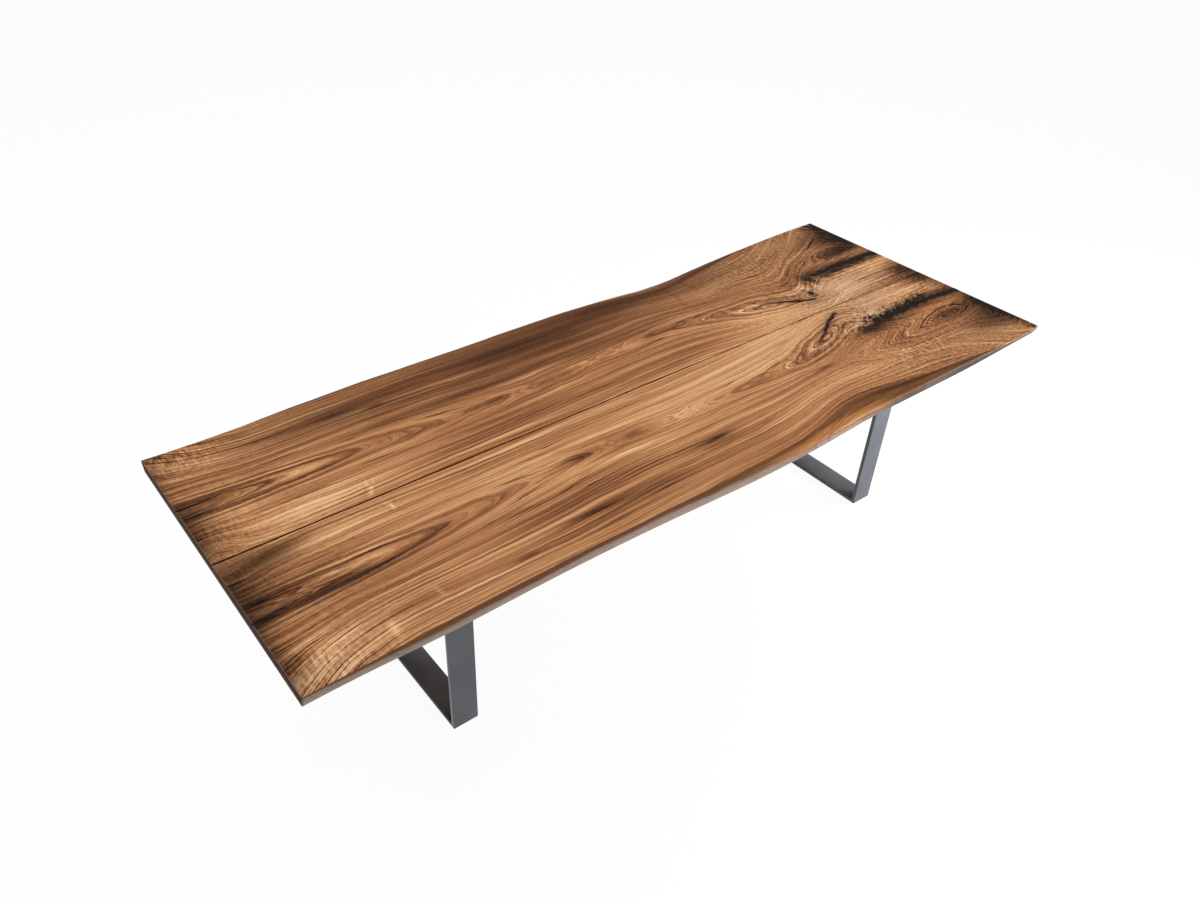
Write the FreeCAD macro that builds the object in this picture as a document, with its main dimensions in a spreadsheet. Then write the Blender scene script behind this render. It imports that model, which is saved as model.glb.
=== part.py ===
import FreeCAD, Part
import os
import Sketcher

# Dining table of two book-matched planks with natural edges on two flat steel leg frames.
# The origin is on the floor under the middle of the table. X runs along the planks,
# Y from the front edge to the rear edge and Z up. Lengths are in millimetres.

SIZES = {
    # Whole table
    "table_length": 3000,
    "table_width": 1200,
    "table_height": 750,
    # Planks
    "plank_thickness": 42,
    "seam_offset": 13,
    "seam_gap_left": 4,
    "seam_gap_right": 1,
    "fill_depth": 8,
    "knot_diameter": 27,
    # Loose tenons across the seam
    "tenon_width": 50,
    "tenon_length": 80,
    "tenon_thickness": 10,
    "tenon_end_distance": 310,
    "tenon_clearance": 0.15,
    # Leg frames of flat bar
    "leg_end_distance": 550,
    "bar_width": 90,
    "bar_thickness": 15,
    "foot_length": 674,
    "top_plate_length": 748,
    # Glides under the foot bars
    "glide_diameter": 40,
    "glide_height": 4,
    "glide_inset": 45,
    "glide_stud_diameter": 8,
    "glide_stud_length": 9,
    "glide_stud_clearance": 0.1,
    "glide_hole_spare_depth": 0.5,
    # Recessed channels
    "channel_end_distance": 170,
    "channel_edge_distance": 120,
    "channel_width": 50,
    "channel_height": 18,
    "channel_wall": 3,
    "channel_clearance": 0.3,
    # Fasteners
    "bolt_end_distance": 74,
    "channel_bolt_end_distance": 120,
    "bolt_diameter": 8,
    "bolt_clearance": 0.5,
    "bolt_slot_travel": 10,
    "bolt_head_diameter": 14,
    "bolt_head_height": 4.5,
    "bolt_socket_width": 5,
    "bolt_socket_depth": 2.6,
    "washer_diameter": 18,
    "washer_thickness": 1.6,
    "insert_diameter": 12,
    "insert_length": 15,
    "insert_clearance": 0.05,
    "thread_clearance": 0.1,
    "bolt_tip_gap": 2,
    "insert_hole_spare_depth": 1,
    # Cuts run this far past the face that they leave
    "cut_overrun": 5,
}

TENON_COUNT = 8
LEG_BOLT_COUNT = 6
CHANNEL_BOLT_COUNT = 4

# Outline of a live edge at even stations from the left end to the right end. Each row has the top
# arris, the widest line of the wane and the lower arris as shares of the plank's width, and the drop
# of the widest line below the top as a share of the thickness.
FRONT_EDGE_SHARES = (
    (0.978, 0.983, 0.961, 0.10),
    (0.966, 0.980, 0.960, 0.19),
    (0.950, 0.975, 0.965, 0.31),
    (0.948, 0.972, 0.958, 0.21),
    (0.950, 0.972, 0.961, 0.17),
    (0.950, 0.977, 0.975, 0.19),
    (0.948, 0.996, 0.992, 0.19),
    (0.917, 0.997, 0.989, 0.24),
    (0.821, 0.966, 0.968, 0.30),
    (0.861, 0.965, 0.963, 0.29),
    (0.926, 0.972, 0.965, 0.24),
    (0.982, 0.989, 0.956, 0.11),
    (0.971, 0.977, 0.942, 0.09),
)
REAR_EDGE_SHARES = (
    (0.969, 0.976, 0.961, 0.14),
    (0.951, 0.976, 0.963, 0.21),
    (0.951, 0.992, 0.977, 0.19),
    (0.955, 1.000, 0.985, 0.17),
    (0.955, 0.992, 0.981, 0.17),
    (0.955, 0.989, 0.976, 0.17),
    (0.951, 0.987, 0.974, 0.17),
    (0.911, 0.971, 0.961, 0.21),
    (0.825, 0.938, 0.932, 0.29),
    (0.856, 0.958, 0.948, 0.26),
    (0.934, 0.983, 0.971, 0.19),
    (0.979, 0.995, 0.968, 0.12),
    (0.985, 0.993, 0.959, 0.10),
)

# The wane bulges at a shoulder between its widest line and the top arris. The first share is the
# shoulder's place on the way to the widest line, the second its part of that line's drop.
SHOULDER_REACH_SHARE = 0.5
SHOULDER_DROP_SHARE = 0.3

# Filled defects: place along the half length, distance from the seam and half breadth as shares of
# the plank's width. A defect that reaches the end of the plank stops at a share of one.
FRONT_FILL_SHARES = {
    "front_end_fill": ((-0.890, 0.440, 0), (-0.94, 0.456, 0.0030), (-1, 0.476, 0.0060)),
    "front_bark_fill": (
        (0.680, 0.314, 0),
        (0.760, 0.303, 0.0085),
        (0.830, 0.297, 0.0150),
        (0.900, 0.304, 0.0120),
        (1, 0.333, 0.0210),
    ),
    "front_knot_fill": ((0.480, 0.282, 0), (0.540, 0.200, 0.0070), (0.585, 0.125, 0.0045), (0.632, 0.068, 0)),
}
REAR_FILL_SHARES = {
    "rear_end_fill": ((-0.910, 0.468, 0), (-0.95, 0.468, 0.0026), (-1, 0.467, 0.0050)),
    "rear_bark_fill": (
        (0.715, 0.388, 0),
        (0.790, 0.385, 0.0080),
        (0.860, 0.389, 0.0150),
        (0.930, 0.385, 0.0110),
        (1, 0.380, 0.0190),
    ),
    "rear_knot_fill": ((0.518, 0.292, 0), (0.570, 0.230, 0.0065), (0.605, 0.180, 0.0045), (0.648, 0.140, 0)),
}
REAR_KNOT_HOLE_SHARES = (0.665, 0.212)

TENON_LEVEL_SHARE = 0.66

# Lengths that follow from the sizes above, as expressions.
HALF_LENGTH = "(dims.table_length / 2)"
UNDERSIDE = "(dims.table_height - dims.plank_thickness)"
FRONT_WIDTH = "(dims.table_width / 2 - dims.seam_offset)"
REAR_WIDTH = "(dims.table_width / 2 + dims.seam_offset)"
FRAME_HEIGHT = f"({UNDERSIDE} - dims.glide_height)"
PLATE_UNDERSIDE = f"({UNDERSIDE} - dims.bar_thickness)"
UPRIGHT_SLOPE = f"((dims.top_plate_length - dims.foot_length) / 2 / {FRAME_HEIGHT})"
MITRE_RUN = f"(dims.bar_thickness * sqrt(1 + {UPRIGHT_SLOPE} ^ 2))"
FOOT_INNER = f"(dims.foot_length / 2 + dims.bar_thickness * {UPRIGHT_SLOPE} - {MITRE_RUN})"
PLATE_INNER = f"(dims.top_plate_length / 2 - dims.bar_thickness * {UPRIGHT_SLOPE} - {MITRE_RUN})"
GLIDE_PLACE = "(dims.foot_length / 2 - dims.glide_inset)"
CHANNEL_SEAT = f"({UNDERSIDE} + dims.channel_wall)"
INSERT_DEPTH = "(dims.channel_wall + dims.insert_length + dims.insert_hole_spare_depth)"
TENON_LEVEL = f"({UNDERSIDE} + dims.plank_thickness * {TENON_LEVEL_SHARE})"

LEG_PLACE = f"({HALF_LENGTH} - dims.leg_end_distance)"
LEG_BOLT_PITCH = f"((dims.top_plate_length - 2 * dims.bolt_end_distance) / {LEG_BOLT_COUNT - 1})"
CHANNEL_PLACE = f"({HALF_LENGTH} - dims.channel_end_distance)"
CHANNEL_LENGTH = "(dims.table_width - 2 * dims.channel_edge_distance)"
CHANNEL_BOLT_RUN = f"({CHANNEL_LENGTH} - 2 * dims.channel_bolt_end_distance)"
CHANNEL_BOLT_PITCH = f"({CHANNEL_BOLT_RUN} / {CHANNEL_BOLT_COUNT - 1})"
TENON_PITCH = f"((dims.table_length - 2 * dims.tenon_end_distance) / {TENON_COUNT - 1})"

LEGS = {"left": f"-{LEG_PLACE}", "right": LEG_PLACE}
CHANNELS = {"left_end": f"-{CHANNEL_PLACE}", "centre": "0", "right_end": CHANNEL_PLACE}

# Turns a sketch so that its own axes lie along Y and Z of the table.
ACROSS_TABLE = FreeCAD.Rotation(FreeCAD.Vector(1, 1, 1), 120)

doc = FreeCAD.newDocument("live_edge_table")
sheet = doc.addObject("Spreadsheet::Sheet", "dims")
subparts = []


def fill_sheet():
    """Write the driving sizes into the sheet, one named cell each."""
    for row, (alias, size) in enumerate(SIZES.items(), start=1):
        sheet.set(f"A{row}", alias)
        sheet.set(f"B{row}", str(size))
        sheet.setAlias(f"B{row}", alias)
    doc.recompute()


def value(expression):
    """Present value of an expression, in millimetres."""
    return float(sheet.evalExpression(expression))


def origin_feature(body, role):
    """One of the body's own origin planes or axes."""
    return next(feature for feature in body.Origin.OriginFeatures if feature.Role == role)


def new_body(label, place_x="0"):
    """Start a body whose middle lies at place_x along the table."""
    body = doc.addObject("PartDesign::Body", label)
    body.Label = label
    body.AllowCompound = True
    body.setExpression("Placement.Base.x", place_x)
    return body


def new_subpart(label, place_x="0"):
    """Start a body that is a sub-part of its own."""
    body = new_body(label, place_x)
    subparts.append(body)
    return body


def new_sketch(body, role, name, offset="0"):
    """A sketch on one of the body's origin planes, moved along the plane's normal."""
    sketch = body.newObject("Sketcher::SketchObject", name)
    sketch.AttachmentSupport = [(origin_feature(body, role), "")]
    sketch.MapMode = "FlatFace"
    sketch.setExpression("AttachmentOffset.Base.z", offset)
    return sketch


def bind(sketch, constraint, expression):
    """Add a dimension and tie it to its expression."""
    index = sketch.addConstraint(constraint)
    sketch.setExpression(f"Constraints[{index}]", expression)


def pin_point(sketch, geometry, end, across, up):
    """Hold one point of a sketch element at a place measured from the sketch origin."""
    bind(sketch, Sketcher.Constraint("DistanceX", -1, 1, geometry, end, value(across)), across)
    bind(sketch, Sketcher.Constraint("DistanceY", -1, 1, geometry, end, value(up)), up)


def add_outline(sketch, points):
    """Closed outline of straight edges through points."""
    corners = [FreeCAD.Vector(value(across), value(up), 0) for across, up in points]
    first = sketch.GeometryCount
    for number, corner in enumerate(corners):
        sketch.addGeometry(Part.LineSegment(corner, corners[(number + 1) % len(corners)]))
    for number, (across, up) in enumerate(points):
        before = first + (number - 1) % len(points)
        sketch.addConstraint(Sketcher.Constraint("Coincident", before, 2, first + number, 1))
        pin_point(sketch, first + number, 1, across, up)


def add_rectangle(sketch, low, high):
    """Rectangle between two opposite corners."""
    add_outline(sketch, [low, (high[0], low[1]), high, (low[0], high[1])])


def add_circle(sketch, across, up, diameter):
    """Circle about a place measured from the sketch origin."""
    centre = FreeCAD.Vector(value(across), value(up), 0)
    normal = FreeCAD.Vector(0, 0, 1)
    geometry = sketch.addGeometry(Part.Circle(centre, normal, value(diameter) / 2))
    bind(sketch, Sketcher.Constraint("Diameter", geometry, value(diameter)), diameter)
    pin_point(sketch, geometry, 3, across, up)


def pad(body, sketch, name, length, downwards=False, symmetric=False):
    """Thicken a sketch into material."""
    feature = body.newObject("PartDesign::Pad", name)
    feature.Profile = sketch
    feature.setExpression("Length", length)
    feature.Reversed = downwards
    feature.SideType = "Symmetric" if symmetric else "One side"
    doc.recompute()
    return feature


def pocket(body, sketch, name, depth, upwards=False):
    """Cut a sketch into the body and make sure that material went."""
    before = body.Shape.Volume
    feature = body.newObject("PartDesign::Pocket", name)
    feature.Profile = sketch
    feature.setExpression("Length", depth)
    feature.Reversed = upwards
    doc.recompute()
    if body.Shape.Volume >= before:
        raise ValueError(f"{name} cuts nothing from {body.Label}")
    return feature


def repeat(body, features, name, axis, pitch, count):
    """Repeat features along an origin axis of the body, one pitch apart."""
    pattern = body.newObject("PartDesign::LinearPattern", name)
    pattern.Originals = features
    pattern.Direction = (origin_feature(body, axis), [""])
    pattern.setExpression("Length", f"{pitch} * {count - 1}")
    pattern.Occurrences = count
    body.Tip = pattern
    doc.recompute()
    return pattern


def first_place(pitch, count):
    """Place of the first of a centred row."""
    return f"(-{pitch} * {count - 1} / 2)"


def row_places(pitch, count):
    """Places of a centred row."""
    return [f"({pitch} * {number - (count - 1) / 2})" for number in range(count)]


def seam_edge(along, side):
    """Y of a plank's seam edge at a share of the half length."""
    gap = f"(dims.seam_gap_left + (dims.seam_gap_right - dims.seam_gap_left) * {(along + 1) / 2})"
    return f"(-dims.seam_offset + {side} * {gap} / 2)"


def from_seam(share, side, width):
    """Y of a place that lies a share of the plank's width from the seam."""
    return f"(-dims.seam_offset + {side} * {width} * {share})"


def below_top(share):
    """Level that lies a share of the plank's thickness below the top."""
    return f"(dims.table_height - dims.plank_thickness * {share})"


def waste_section(name, place, side, width, row):
    """Cross-section of the waste outside a live edge: lower face, wane and clear space around."""
    top, widest, low, drop = row
    shoulder = top + (widest - top) * SHOULDER_REACH_SHARE
    beneath = f"({UNDERSIDE} - dims.cut_overrun)"
    above = "(dims.table_height + dims.cut_overrun)"
    outside = f"({from_seam(1, side, width)} + {side} * 2 * dims.cut_overrun)"
    sketch = doc.addObject("Sketcher::SketchObject", name)
    sketch.Placement.Rotation = ACROSS_TABLE
    sketch.setExpression("Placement.Base.x", place)
    points = [
        (from_seam(low, side, width), beneath),
        (from_seam(low, side, width), UNDERSIDE),
        (from_seam(widest, side, width), below_top(drop)),
        (from_seam(shoulder, side, width), below_top(drop * SHOULDER_DROP_SHARE)),
        (from_seam(top, side, width), "dims.table_height"),
        (from_seam(top, side, width), above),
        (outside, above),
        (outside, beneath),
    ]
    add_outline(sketch, points)
    return sketch


def plank_blank(body, side, width):
    """Sawn board with a straight seam edge, as wide as the live edge reaches."""
    sketch = new_sketch(body, "XY_Plane", f"{body.Label}_board_outline", UNDERSIDE)
    outer = f"({from_seam(1, side, width)} + {side} * dims.cut_overrun)"
    points = [
        (f"-{HALF_LENGTH}", seam_edge(-1, side)),
        (HALF_LENGTH, seam_edge(1, side)),
        (HALF_LENGTH, outer),
        (f"-{HALF_LENGTH}", outer),
    ]
    add_outline(sketch, points)
    pad(body, sketch, f"{body.Label}_blank", "dims.plank_thickness")


def edge_waste(label, side, width, edge_shares):
    """Waste outside a live edge, lofted smoothly through its cross-sections."""
    sections = []
    for number, row in enumerate(edge_shares):
        along = 2 * number / (len(edge_shares) - 1) - 1
        place = f"({HALF_LENGTH} + dims.cut_overrun) * {along}"
        sections.append(waste_section(f"{label}_waste_{number}", place, side, width, row))
    loft = doc.addObject("Part::Loft", f"{label}_waste")
    loft.Sections = sections
    loft.Solid = True
    loft.Ruled = False
    loft.MaxDegree = 2
    doc.recompute()
    return loft


def sliver_points(rows, side, width, overrun="0"):
    """Outline of a defect from its centre line and half breadths, out along one side and back."""
    stations = [(f"{HALF_LENGTH} * {along}", across, half) for along, across, half in rows]
    end_along, end_across, end_half = rows[-1]
    if overrun != "0" and abs(end_along) == 1:
        stations.append((f"({HALF_LENGTH} + {overrun}) * {end_along}", end_across, end_half))
    out = [(place, from_seam(across - half, side, width)) for place, across, half in stations]
    back = [(place, from_seam(across + half, side, width)) for place, across, half in stations if half]
    return out + back[::-1]


def knot_hole(side, width):
    """Centre of the round knot hole."""
    along, across = REAR_KNOT_HOLE_SHARES
    return f"{HALF_LENGTH} * {along}", from_seam(across, side, width)


def cut_defects(body, side, width, fill_shares, has_knot_hole):
    """Rout the filled defects from the top face."""
    sketch = new_sketch(body, "XY_Plane", f"{body.Label}_defects", "dims.table_height")
    for rows in fill_shares.values():
        add_outline(sketch, sliver_points(rows, side, width, "dims.cut_overrun"))
    if has_knot_hole:
        add_circle(sketch, *knot_hole(side, width), "dims.knot_diameter")
    pocket(body, sketch, f"{body.Label}_defect_cut", "dims.fill_depth")


def cut_mortises(body, side):
    """Slots for the loose tenons in the seam edge."""
    sketch = new_sketch(body, "XZ_Plane", f"{body.Label}_mortises", "dims.seam_offset")
    half_width = "(dims.tenon_width / 2 + dims.tenon_clearance)"
    half_thickness = "(dims.tenon_thickness / 2 + dims.tenon_clearance)"
    for place in row_places(TENON_PITCH, TENON_COUNT):
        low = (f"{place} - {half_width}", f"{TENON_LEVEL} - {half_thickness}")
        high = (f"{place} + {half_width}", f"{TENON_LEVEL} + {half_thickness}")
        add_rectangle(sketch, low, high)
    depth = "dims.tenon_length / 2 + dims.tenon_clearance"
    pocket(body, sketch, f"{body.Label}_mortise_cut", depth, upwards=side < 0)


def cut_channel_grooves(body, side):
    """Shallow recess for each channel's web and two deeper slots for its flanges."""
    seats = new_sketch(body, "XY_Plane", f"{body.Label}_channel_seats", UNDERSIDE)
    slots = new_sketch(body, "XY_Plane", f"{body.Label}_flange_slots", UNDERSIDE)
    near = f"(-dims.seam_offset - {side} * dims.cut_overrun)"
    far = f"({side} * ({CHANNEL_LENGTH} / 2 + dims.channel_clearance))"
    outer = "(dims.channel_width / 2 + dims.channel_clearance)"
    inner = "(dims.channel_width / 2 - dims.channel_wall - dims.channel_clearance)"
    for place in CHANNELS.values():
        add_rectangle(seats, (f"{place} - {outer}", near), (f"{place} + {outer}", far))
        add_rectangle(slots, (f"{place} - {outer}", near), (f"{place} - {inner}", far))
        add_rectangle(slots, (f"{place} + {inner}", near), (f"{place} + {outer}", far))
    pocket(body, seats, f"{body.Label}_channel_seat_cut", "dims.channel_wall", upwards=True)
    depth = "dims.channel_height + dims.channel_clearance"
    pocket(body, slots, f"{body.Label}_flange_slot_cut", depth, upwards=True)


def cut_insert_holes(body, side):
    """Blind holes for the threaded inserts over both legs and all channels."""
    sketch = new_sketch(body, "XY_Plane", f"{body.Label}_insert_holes", UNDERSIDE)
    diameter = "dims.insert_diameter + 2 * dims.insert_clearance"
    rows = [(place, LEG_BOLT_PITCH, LEG_BOLT_COUNT) for place in LEGS.values()]
    rows += [(place, CHANNEL_BOLT_PITCH, CHANNEL_BOLT_COUNT) for place in CHANNELS.values()]
    for place, pitch, count in rows:
        for across in row_places(pitch, count):
            if value(across) * side > 0:
                add_circle(sketch, place, across, diameter)
    pocket(body, sketch, f"{body.Label}_insert_hole_cut", INSERT_DEPTH, upwards=True)


def make_plank(label, side, width, edge_shares, fill_shares):
    """One half of the top: sawn board with every cut that its fittings need, then its live edge."""
    board = new_body(f"{label}_board")
    plank_blank(board, side, width)
    cut_mortises(board, side)
    cut_channel_grooves(board, side)
    cut_insert_holes(board, side)
    cut_defects(board, side, width, fill_shares, has_knot_hole=side > 0)
    plank = doc.addObject("Part::Cut", label)
    plank.Label = label
    plank.Base = board
    plank.Tool = edge_waste(label, side, width, edge_shares)
    subparts.append(plank)


def make_fill(label, side, width, rows, has_knot_hole):
    """Poured filling of one defect, level with the top."""
    body = new_subpart(label)
    sketch = new_sketch(body, "XY_Plane", f"{label}_outline", "dims.table_height")
    add_outline(sketch, sliver_points(rows, side, width))
    if has_knot_hole:
        add_circle(sketch, *knot_hole(side, width), "dims.knot_diameter")
    pad(body, sketch, f"{label}_pour", "dims.fill_depth", downwards=True)


def make_tenons():
    """Loose tenons that bridge the seam."""
    body = new_subpart("seam_tenons")
    level = f"{TENON_LEVEL} - dims.tenon_thickness / 2"
    sketch = new_sketch(body, "XY_Plane", "tenon_outline", level)
    middle = first_place(TENON_PITCH, TENON_COUNT)
    low = (f"{middle} - dims.tenon_width / 2", "-dims.seam_offset - dims.tenon_length / 2")
    high = (f"{middle} + dims.tenon_width / 2", "-dims.seam_offset + dims.tenon_length / 2")
    add_rectangle(sketch, low, high)
    tenon = pad(body, sketch, "tenon", "dims.tenon_thickness")
    repeat(body, [tenon], "tenon_row", "X_Axis", TENON_PITCH, TENON_COUNT)


def make_bar(label, place_x, points):
    """Flat bar with mitred ends, in the plane of its leg frame."""
    body = new_subpart(label, place_x)
    sketch = new_sketch(body, "YZ_Plane", f"{label}_profile")
    add_outline(sketch, points)
    pad(body, sketch, f"{label}_bar", "dims.bar_width", symmetric=True)
    return body


def make_foot_bar(label, place_x):
    """Bar on the floor with a blind hole near each end for a glide's stud."""
    foot_half = "dims.foot_length / 2"
    foot_top = "dims.glide_height + dims.bar_thickness"
    points = [
        (f"-{foot_half}", "dims.glide_height"),
        (foot_half, "dims.glide_height"),
        (FOOT_INNER, foot_top),
        (f"-{FOOT_INNER}", foot_top),
    ]
    body = make_bar(label, place_x, points)
    sketch = new_sketch(body, "XY_Plane", f"{label}_stud_holes", "dims.glide_height")
    for side in (-1, 1):
        diameter = "dims.glide_stud_diameter + 2 * dims.glide_stud_clearance"
        add_circle(sketch, "0", f"{side} * {GLIDE_PLACE}", diameter)
    depth = "dims.glide_stud_length + dims.glide_hole_spare_depth"
    pocket(body, sketch, f"{label}_stud_hole_cut", depth, upwards=True)


def make_upright(label, place_x, side):
    """Leaning bar between the foot bar and the top plate."""
    points = [
        (f"{side} * dims.foot_length / 2", "dims.glide_height"),
        (f"{side} * dims.top_plate_length / 2", UNDERSIDE),
        (f"{side} * {PLATE_INNER}", PLATE_UNDERSIDE),
        (f"{side} * {FOOT_INNER}", "dims.glide_height + dims.bar_thickness"),
    ]
    make_bar(label, place_x, points)


def add_slot(sketch, middle, breadth, travel):
    """Slot along the sketch's vertical axis: two half circles joined by straight sides."""
    radius = value(breadth) / 2
    ends = [f"{middle} + {travel} / 2", f"{middle} - {travel} / 2"]
    centres = [FreeCAD.Vector(0, value(end), 0) for end in ends]
    shift = FreeCAD.Vector(radius, 0, 0)
    bulge = FreeCAD.Vector(0, radius, 0)
    first = sketch.GeometryCount
    sketch.addGeometry(Part.Arc(centres[0] + shift, centres[0] + bulge, centres[0] - shift))
    sketch.addGeometry(Part.Arc(centres[1] - shift, centres[1] - bulge, centres[1] + shift))
    sketch.addGeometry(Part.LineSegment(centres[0] - shift, centres[1] - shift))
    sketch.addGeometry(Part.LineSegment(centres[1] + shift, centres[0] + shift))
    for joint in ((0, 2, 2, 1), (2, 2, 1, 1), (1, 2, 3, 1), (3, 2, 0, 1)):
        near, near_end, far, far_end = joint
        sketch.addConstraint(Sketcher.Constraint("Tangent", first + near, near_end, first + far, far_end))
    bind(sketch, Sketcher.Constraint("Radius", first, radius), f"({breadth}) / 2")
    for number, end in enumerate(ends):
        pin_point(sketch, first + number, 3, "0", end)


def make_top_plate(label, place_x):
    """Bar under the planks, with slots that let the wood move across its grain."""
    plate_half = "dims.top_plate_length / 2"
    points = [
        (f"-{PLATE_INNER}", PLATE_UNDERSIDE),
        (PLATE_INNER, PLATE_UNDERSIDE),
        (plate_half, UNDERSIDE),
        (f"-{plate_half}", UNDERSIDE),
    ]
    body = make_bar(label, place_x, points)
    sketch = new_sketch(body, "XY_Plane", f"{label}_slot", UNDERSIDE)
    breadth = "dims.bolt_diameter + 2 * dims.bolt_clearance"
    add_slot(sketch, first_place(LEG_BOLT_PITCH, LEG_BOLT_COUNT), breadth, "dims.bolt_slot_travel")
    slot = pocket(body, sketch, f"{label}_slot_cut", "dims.bar_thickness")
    repeat(body, [slot], f"{label}_slots", "Y_Axis", LEG_BOLT_PITCH, LEG_BOLT_COUNT)


def make_glide(label, place_x, side):
    """Round glide with a stud that is pressed into the foot bar."""
    body = new_subpart(label, place_x)
    sketch = new_sketch(body, "XZ_Plane", f"{label}_profile", f"{-side} * {GLIDE_PLACE}")
    stud_radius = "dims.glide_stud_diameter / 2"
    stud_tip = "dims.glide_height + dims.glide_stud_length"
    points = [
        ("0", "0"),
        ("dims.glide_diameter / 2 - dims.glide_height / 2", "0"),
        ("dims.glide_diameter / 2", "dims.glide_height / 2"),
        ("dims.glide_diameter / 2", "dims.glide_height"),
        (stud_radius, "dims.glide_height"),
        (stud_radius, stud_tip),
        ("0", stud_tip),
    ]
    add_outline(sketch, points)
    turn(body, sketch, f"{label}_turned")


def turn(body, sketch, name):
    """Revolve a half profile about the vertical axis of its sketch."""
    feature = body.newObject("PartDesign::Revolution", name)
    feature.Profile = sketch
    feature.ReferenceAxis = (sketch, ["V_Axis"])
    feature.Angle = 360
    doc.recompute()
    return feature


def make_channel(label, place_x):
    """Steel channel with its web level with the underside and its flanges in the planks."""
    body = new_subpart(label, place_x)
    sketch = new_sketch(body, "XZ_Plane", f"{label}_profile")
    outer = "dims.channel_width / 2"
    inner = "(dims.channel_width / 2 - dims.channel_wall)"
    crown = f"{UNDERSIDE} + dims.channel_height"
    points = [
        (f"-{outer}", UNDERSIDE),
        (outer, UNDERSIDE),
        (outer, crown),
        (inner, crown),
        (inner, CHANNEL_SEAT),
        (f"-{inner}", CHANNEL_SEAT),
        (f"-{inner}", crown),
        (f"-{outer}", crown),
    ]
    add_outline(sketch, points)
    pad(body, sketch, f"{label}_bar", CHANNEL_LENGTH, symmetric=True)
    slot_sketch = new_sketch(body, "XY_Plane", f"{label}_slot", CHANNEL_SEAT)
    breadth = "dims.bolt_diameter + 2 * dims.bolt_clearance"
    middle = first_place(CHANNEL_BOLT_PITCH, CHANNEL_BOLT_COUNT)
    add_slot(slot_sketch, middle, breadth, "dims.bolt_slot_travel")
    slot = pocket(body, slot_sketch, f"{label}_slot_cut", "dims.channel_wall")
    repeat(body, [slot], f"{label}_slots", "Y_Axis", CHANNEL_BOLT_PITCH, CHANNEL_BOLT_COUNT)


def bolt_points(seat, tip):
    """Half profile of a bolt whose head bears on a washer below seat and whose tip is at tip."""
    head_top = f"({seat} - dims.washer_thickness)"
    head_low = f"({head_top} - dims.bolt_head_height)"
    head_radius = "dims.bolt_head_diameter / 2"
    return [
        ("0", head_low),
        (f"{head_radius} - dims.bolt_head_height / 2", head_low),
        (head_radius, f"{head_top} - dims.bolt_head_height / 2"),
        (head_radius, head_top),
        ("dims.bolt_diameter / 2", head_top),
        ("dims.bolt_diameter / 2", tip),
        ("0", tip),
    ]


def washer_points(seat):
    """Half profile of a washer that bears on the underside at seat."""
    bore = "dims.bolt_diameter / 2 + dims.bolt_clearance"
    low = f"{seat} - dims.washer_thickness"
    return [
        (bore, low),
        ("dims.washer_diameter / 2", low),
        ("dims.washer_diameter / 2", seat),
        (bore, seat),
    ]


def insert_points(mouth):
    """Half profile of a threaded insert whose mouth is level with the wood."""
    bore = "dims.bolt_diameter / 2 + dims.thread_clearance"
    crown = f"{mouth} + dims.insert_length"
    return [
        (bore, mouth),
        ("dims.insert_diameter / 2", mouth),
        ("dims.insert_diameter / 2", crown),
        (bore, crown),
    ]


def add_hexagon(sketch, middle, width):
    """Regular hexagon across flats of width, centred on the vertical axis of the sketch."""
    points = []
    for across, up in ((1, 0.5), (0, 1), (-1, 0.5), (-1, -0.5), (0, -1), (1, -0.5)):
        points.append((f"{across} * {width} / 2", f"{middle} + {up} * {width} / sqrt(3)"))
    add_outline(sketch, points)


def turned_row(body, points, pitch, count, place_x="0", socket_level=None):
    """A centred row of turned pieces across the table, each with a hexagon socket if it has a level."""
    number = len(body.Group)
    name = f"{body.Label}_{number}"
    middle = first_place(pitch, count)
    sketch = new_sketch(body, "XZ_Plane", f"{name}_profile", f"-{middle}")
    sketch.setExpression("AttachmentOffset.Base.x", place_x)
    add_outline(sketch, points)
    features = [turn(body, sketch, f"{name}_turned")]
    if socket_level:
        socket = new_sketch(body, "XY_Plane", f"{name}_socket", socket_level)
        socket.setExpression("AttachmentOffset.Base.x", place_x)
        add_hexagon(socket, middle, "dims.bolt_socket_width")
        features.append(pocket(body, socket, f"{name}_socket_cut", "dims.bolt_socket_depth", upwards=True))
    repeat(body, features, f"{name}_row", "Y_Axis", pitch, count)


def head_underside(seat):
    """Level of a bolt head's outer face."""
    return f"({seat} - dims.washer_thickness - dims.bolt_head_height)"


def make_leg_fasteners(side_name, place_x):
    """Bolts, washers and inserts that hold one leg to the planks."""
    row = (LEG_BOLT_PITCH, LEG_BOLT_COUNT)
    tip = f"{UNDERSIDE} + dims.insert_length - dims.bolt_tip_gap"
    bolts = new_subpart(f"{side_name}_leg_bolts", place_x)
    turned_row(bolts, bolt_points(PLATE_UNDERSIDE, tip), *row, socket_level=head_underside(PLATE_UNDERSIDE))
    washers = new_subpart(f"{side_name}_leg_washers", place_x)
    turned_row(washers, washer_points(PLATE_UNDERSIDE), *row)
    inserts = new_subpart(f"{side_name}_leg_inserts", place_x)
    turned_row(inserts, insert_points(UNDERSIDE), *row)


def make_channel_fasteners():
    """Bolts, washers and inserts of all channels, one group of each."""
    row = (CHANNEL_BOLT_PITCH, CHANNEL_BOLT_COUNT)
    tip = f"{CHANNEL_SEAT} + dims.insert_length - dims.bolt_tip_gap"
    bolts = new_subpart("channel_bolts")
    washers = new_subpart("channel_washers")
    inserts = new_subpart("channel_inserts")
    for place_x in CHANNELS.values():
        turned_row(bolts, bolt_points(UNDERSIDE, tip), *row, place_x, head_underside(UNDERSIDE))
        turned_row(washers, washer_points(UNDERSIDE), *row, place_x)
        turned_row(inserts, insert_points(CHANNEL_SEAT), *row, place_x)


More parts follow.
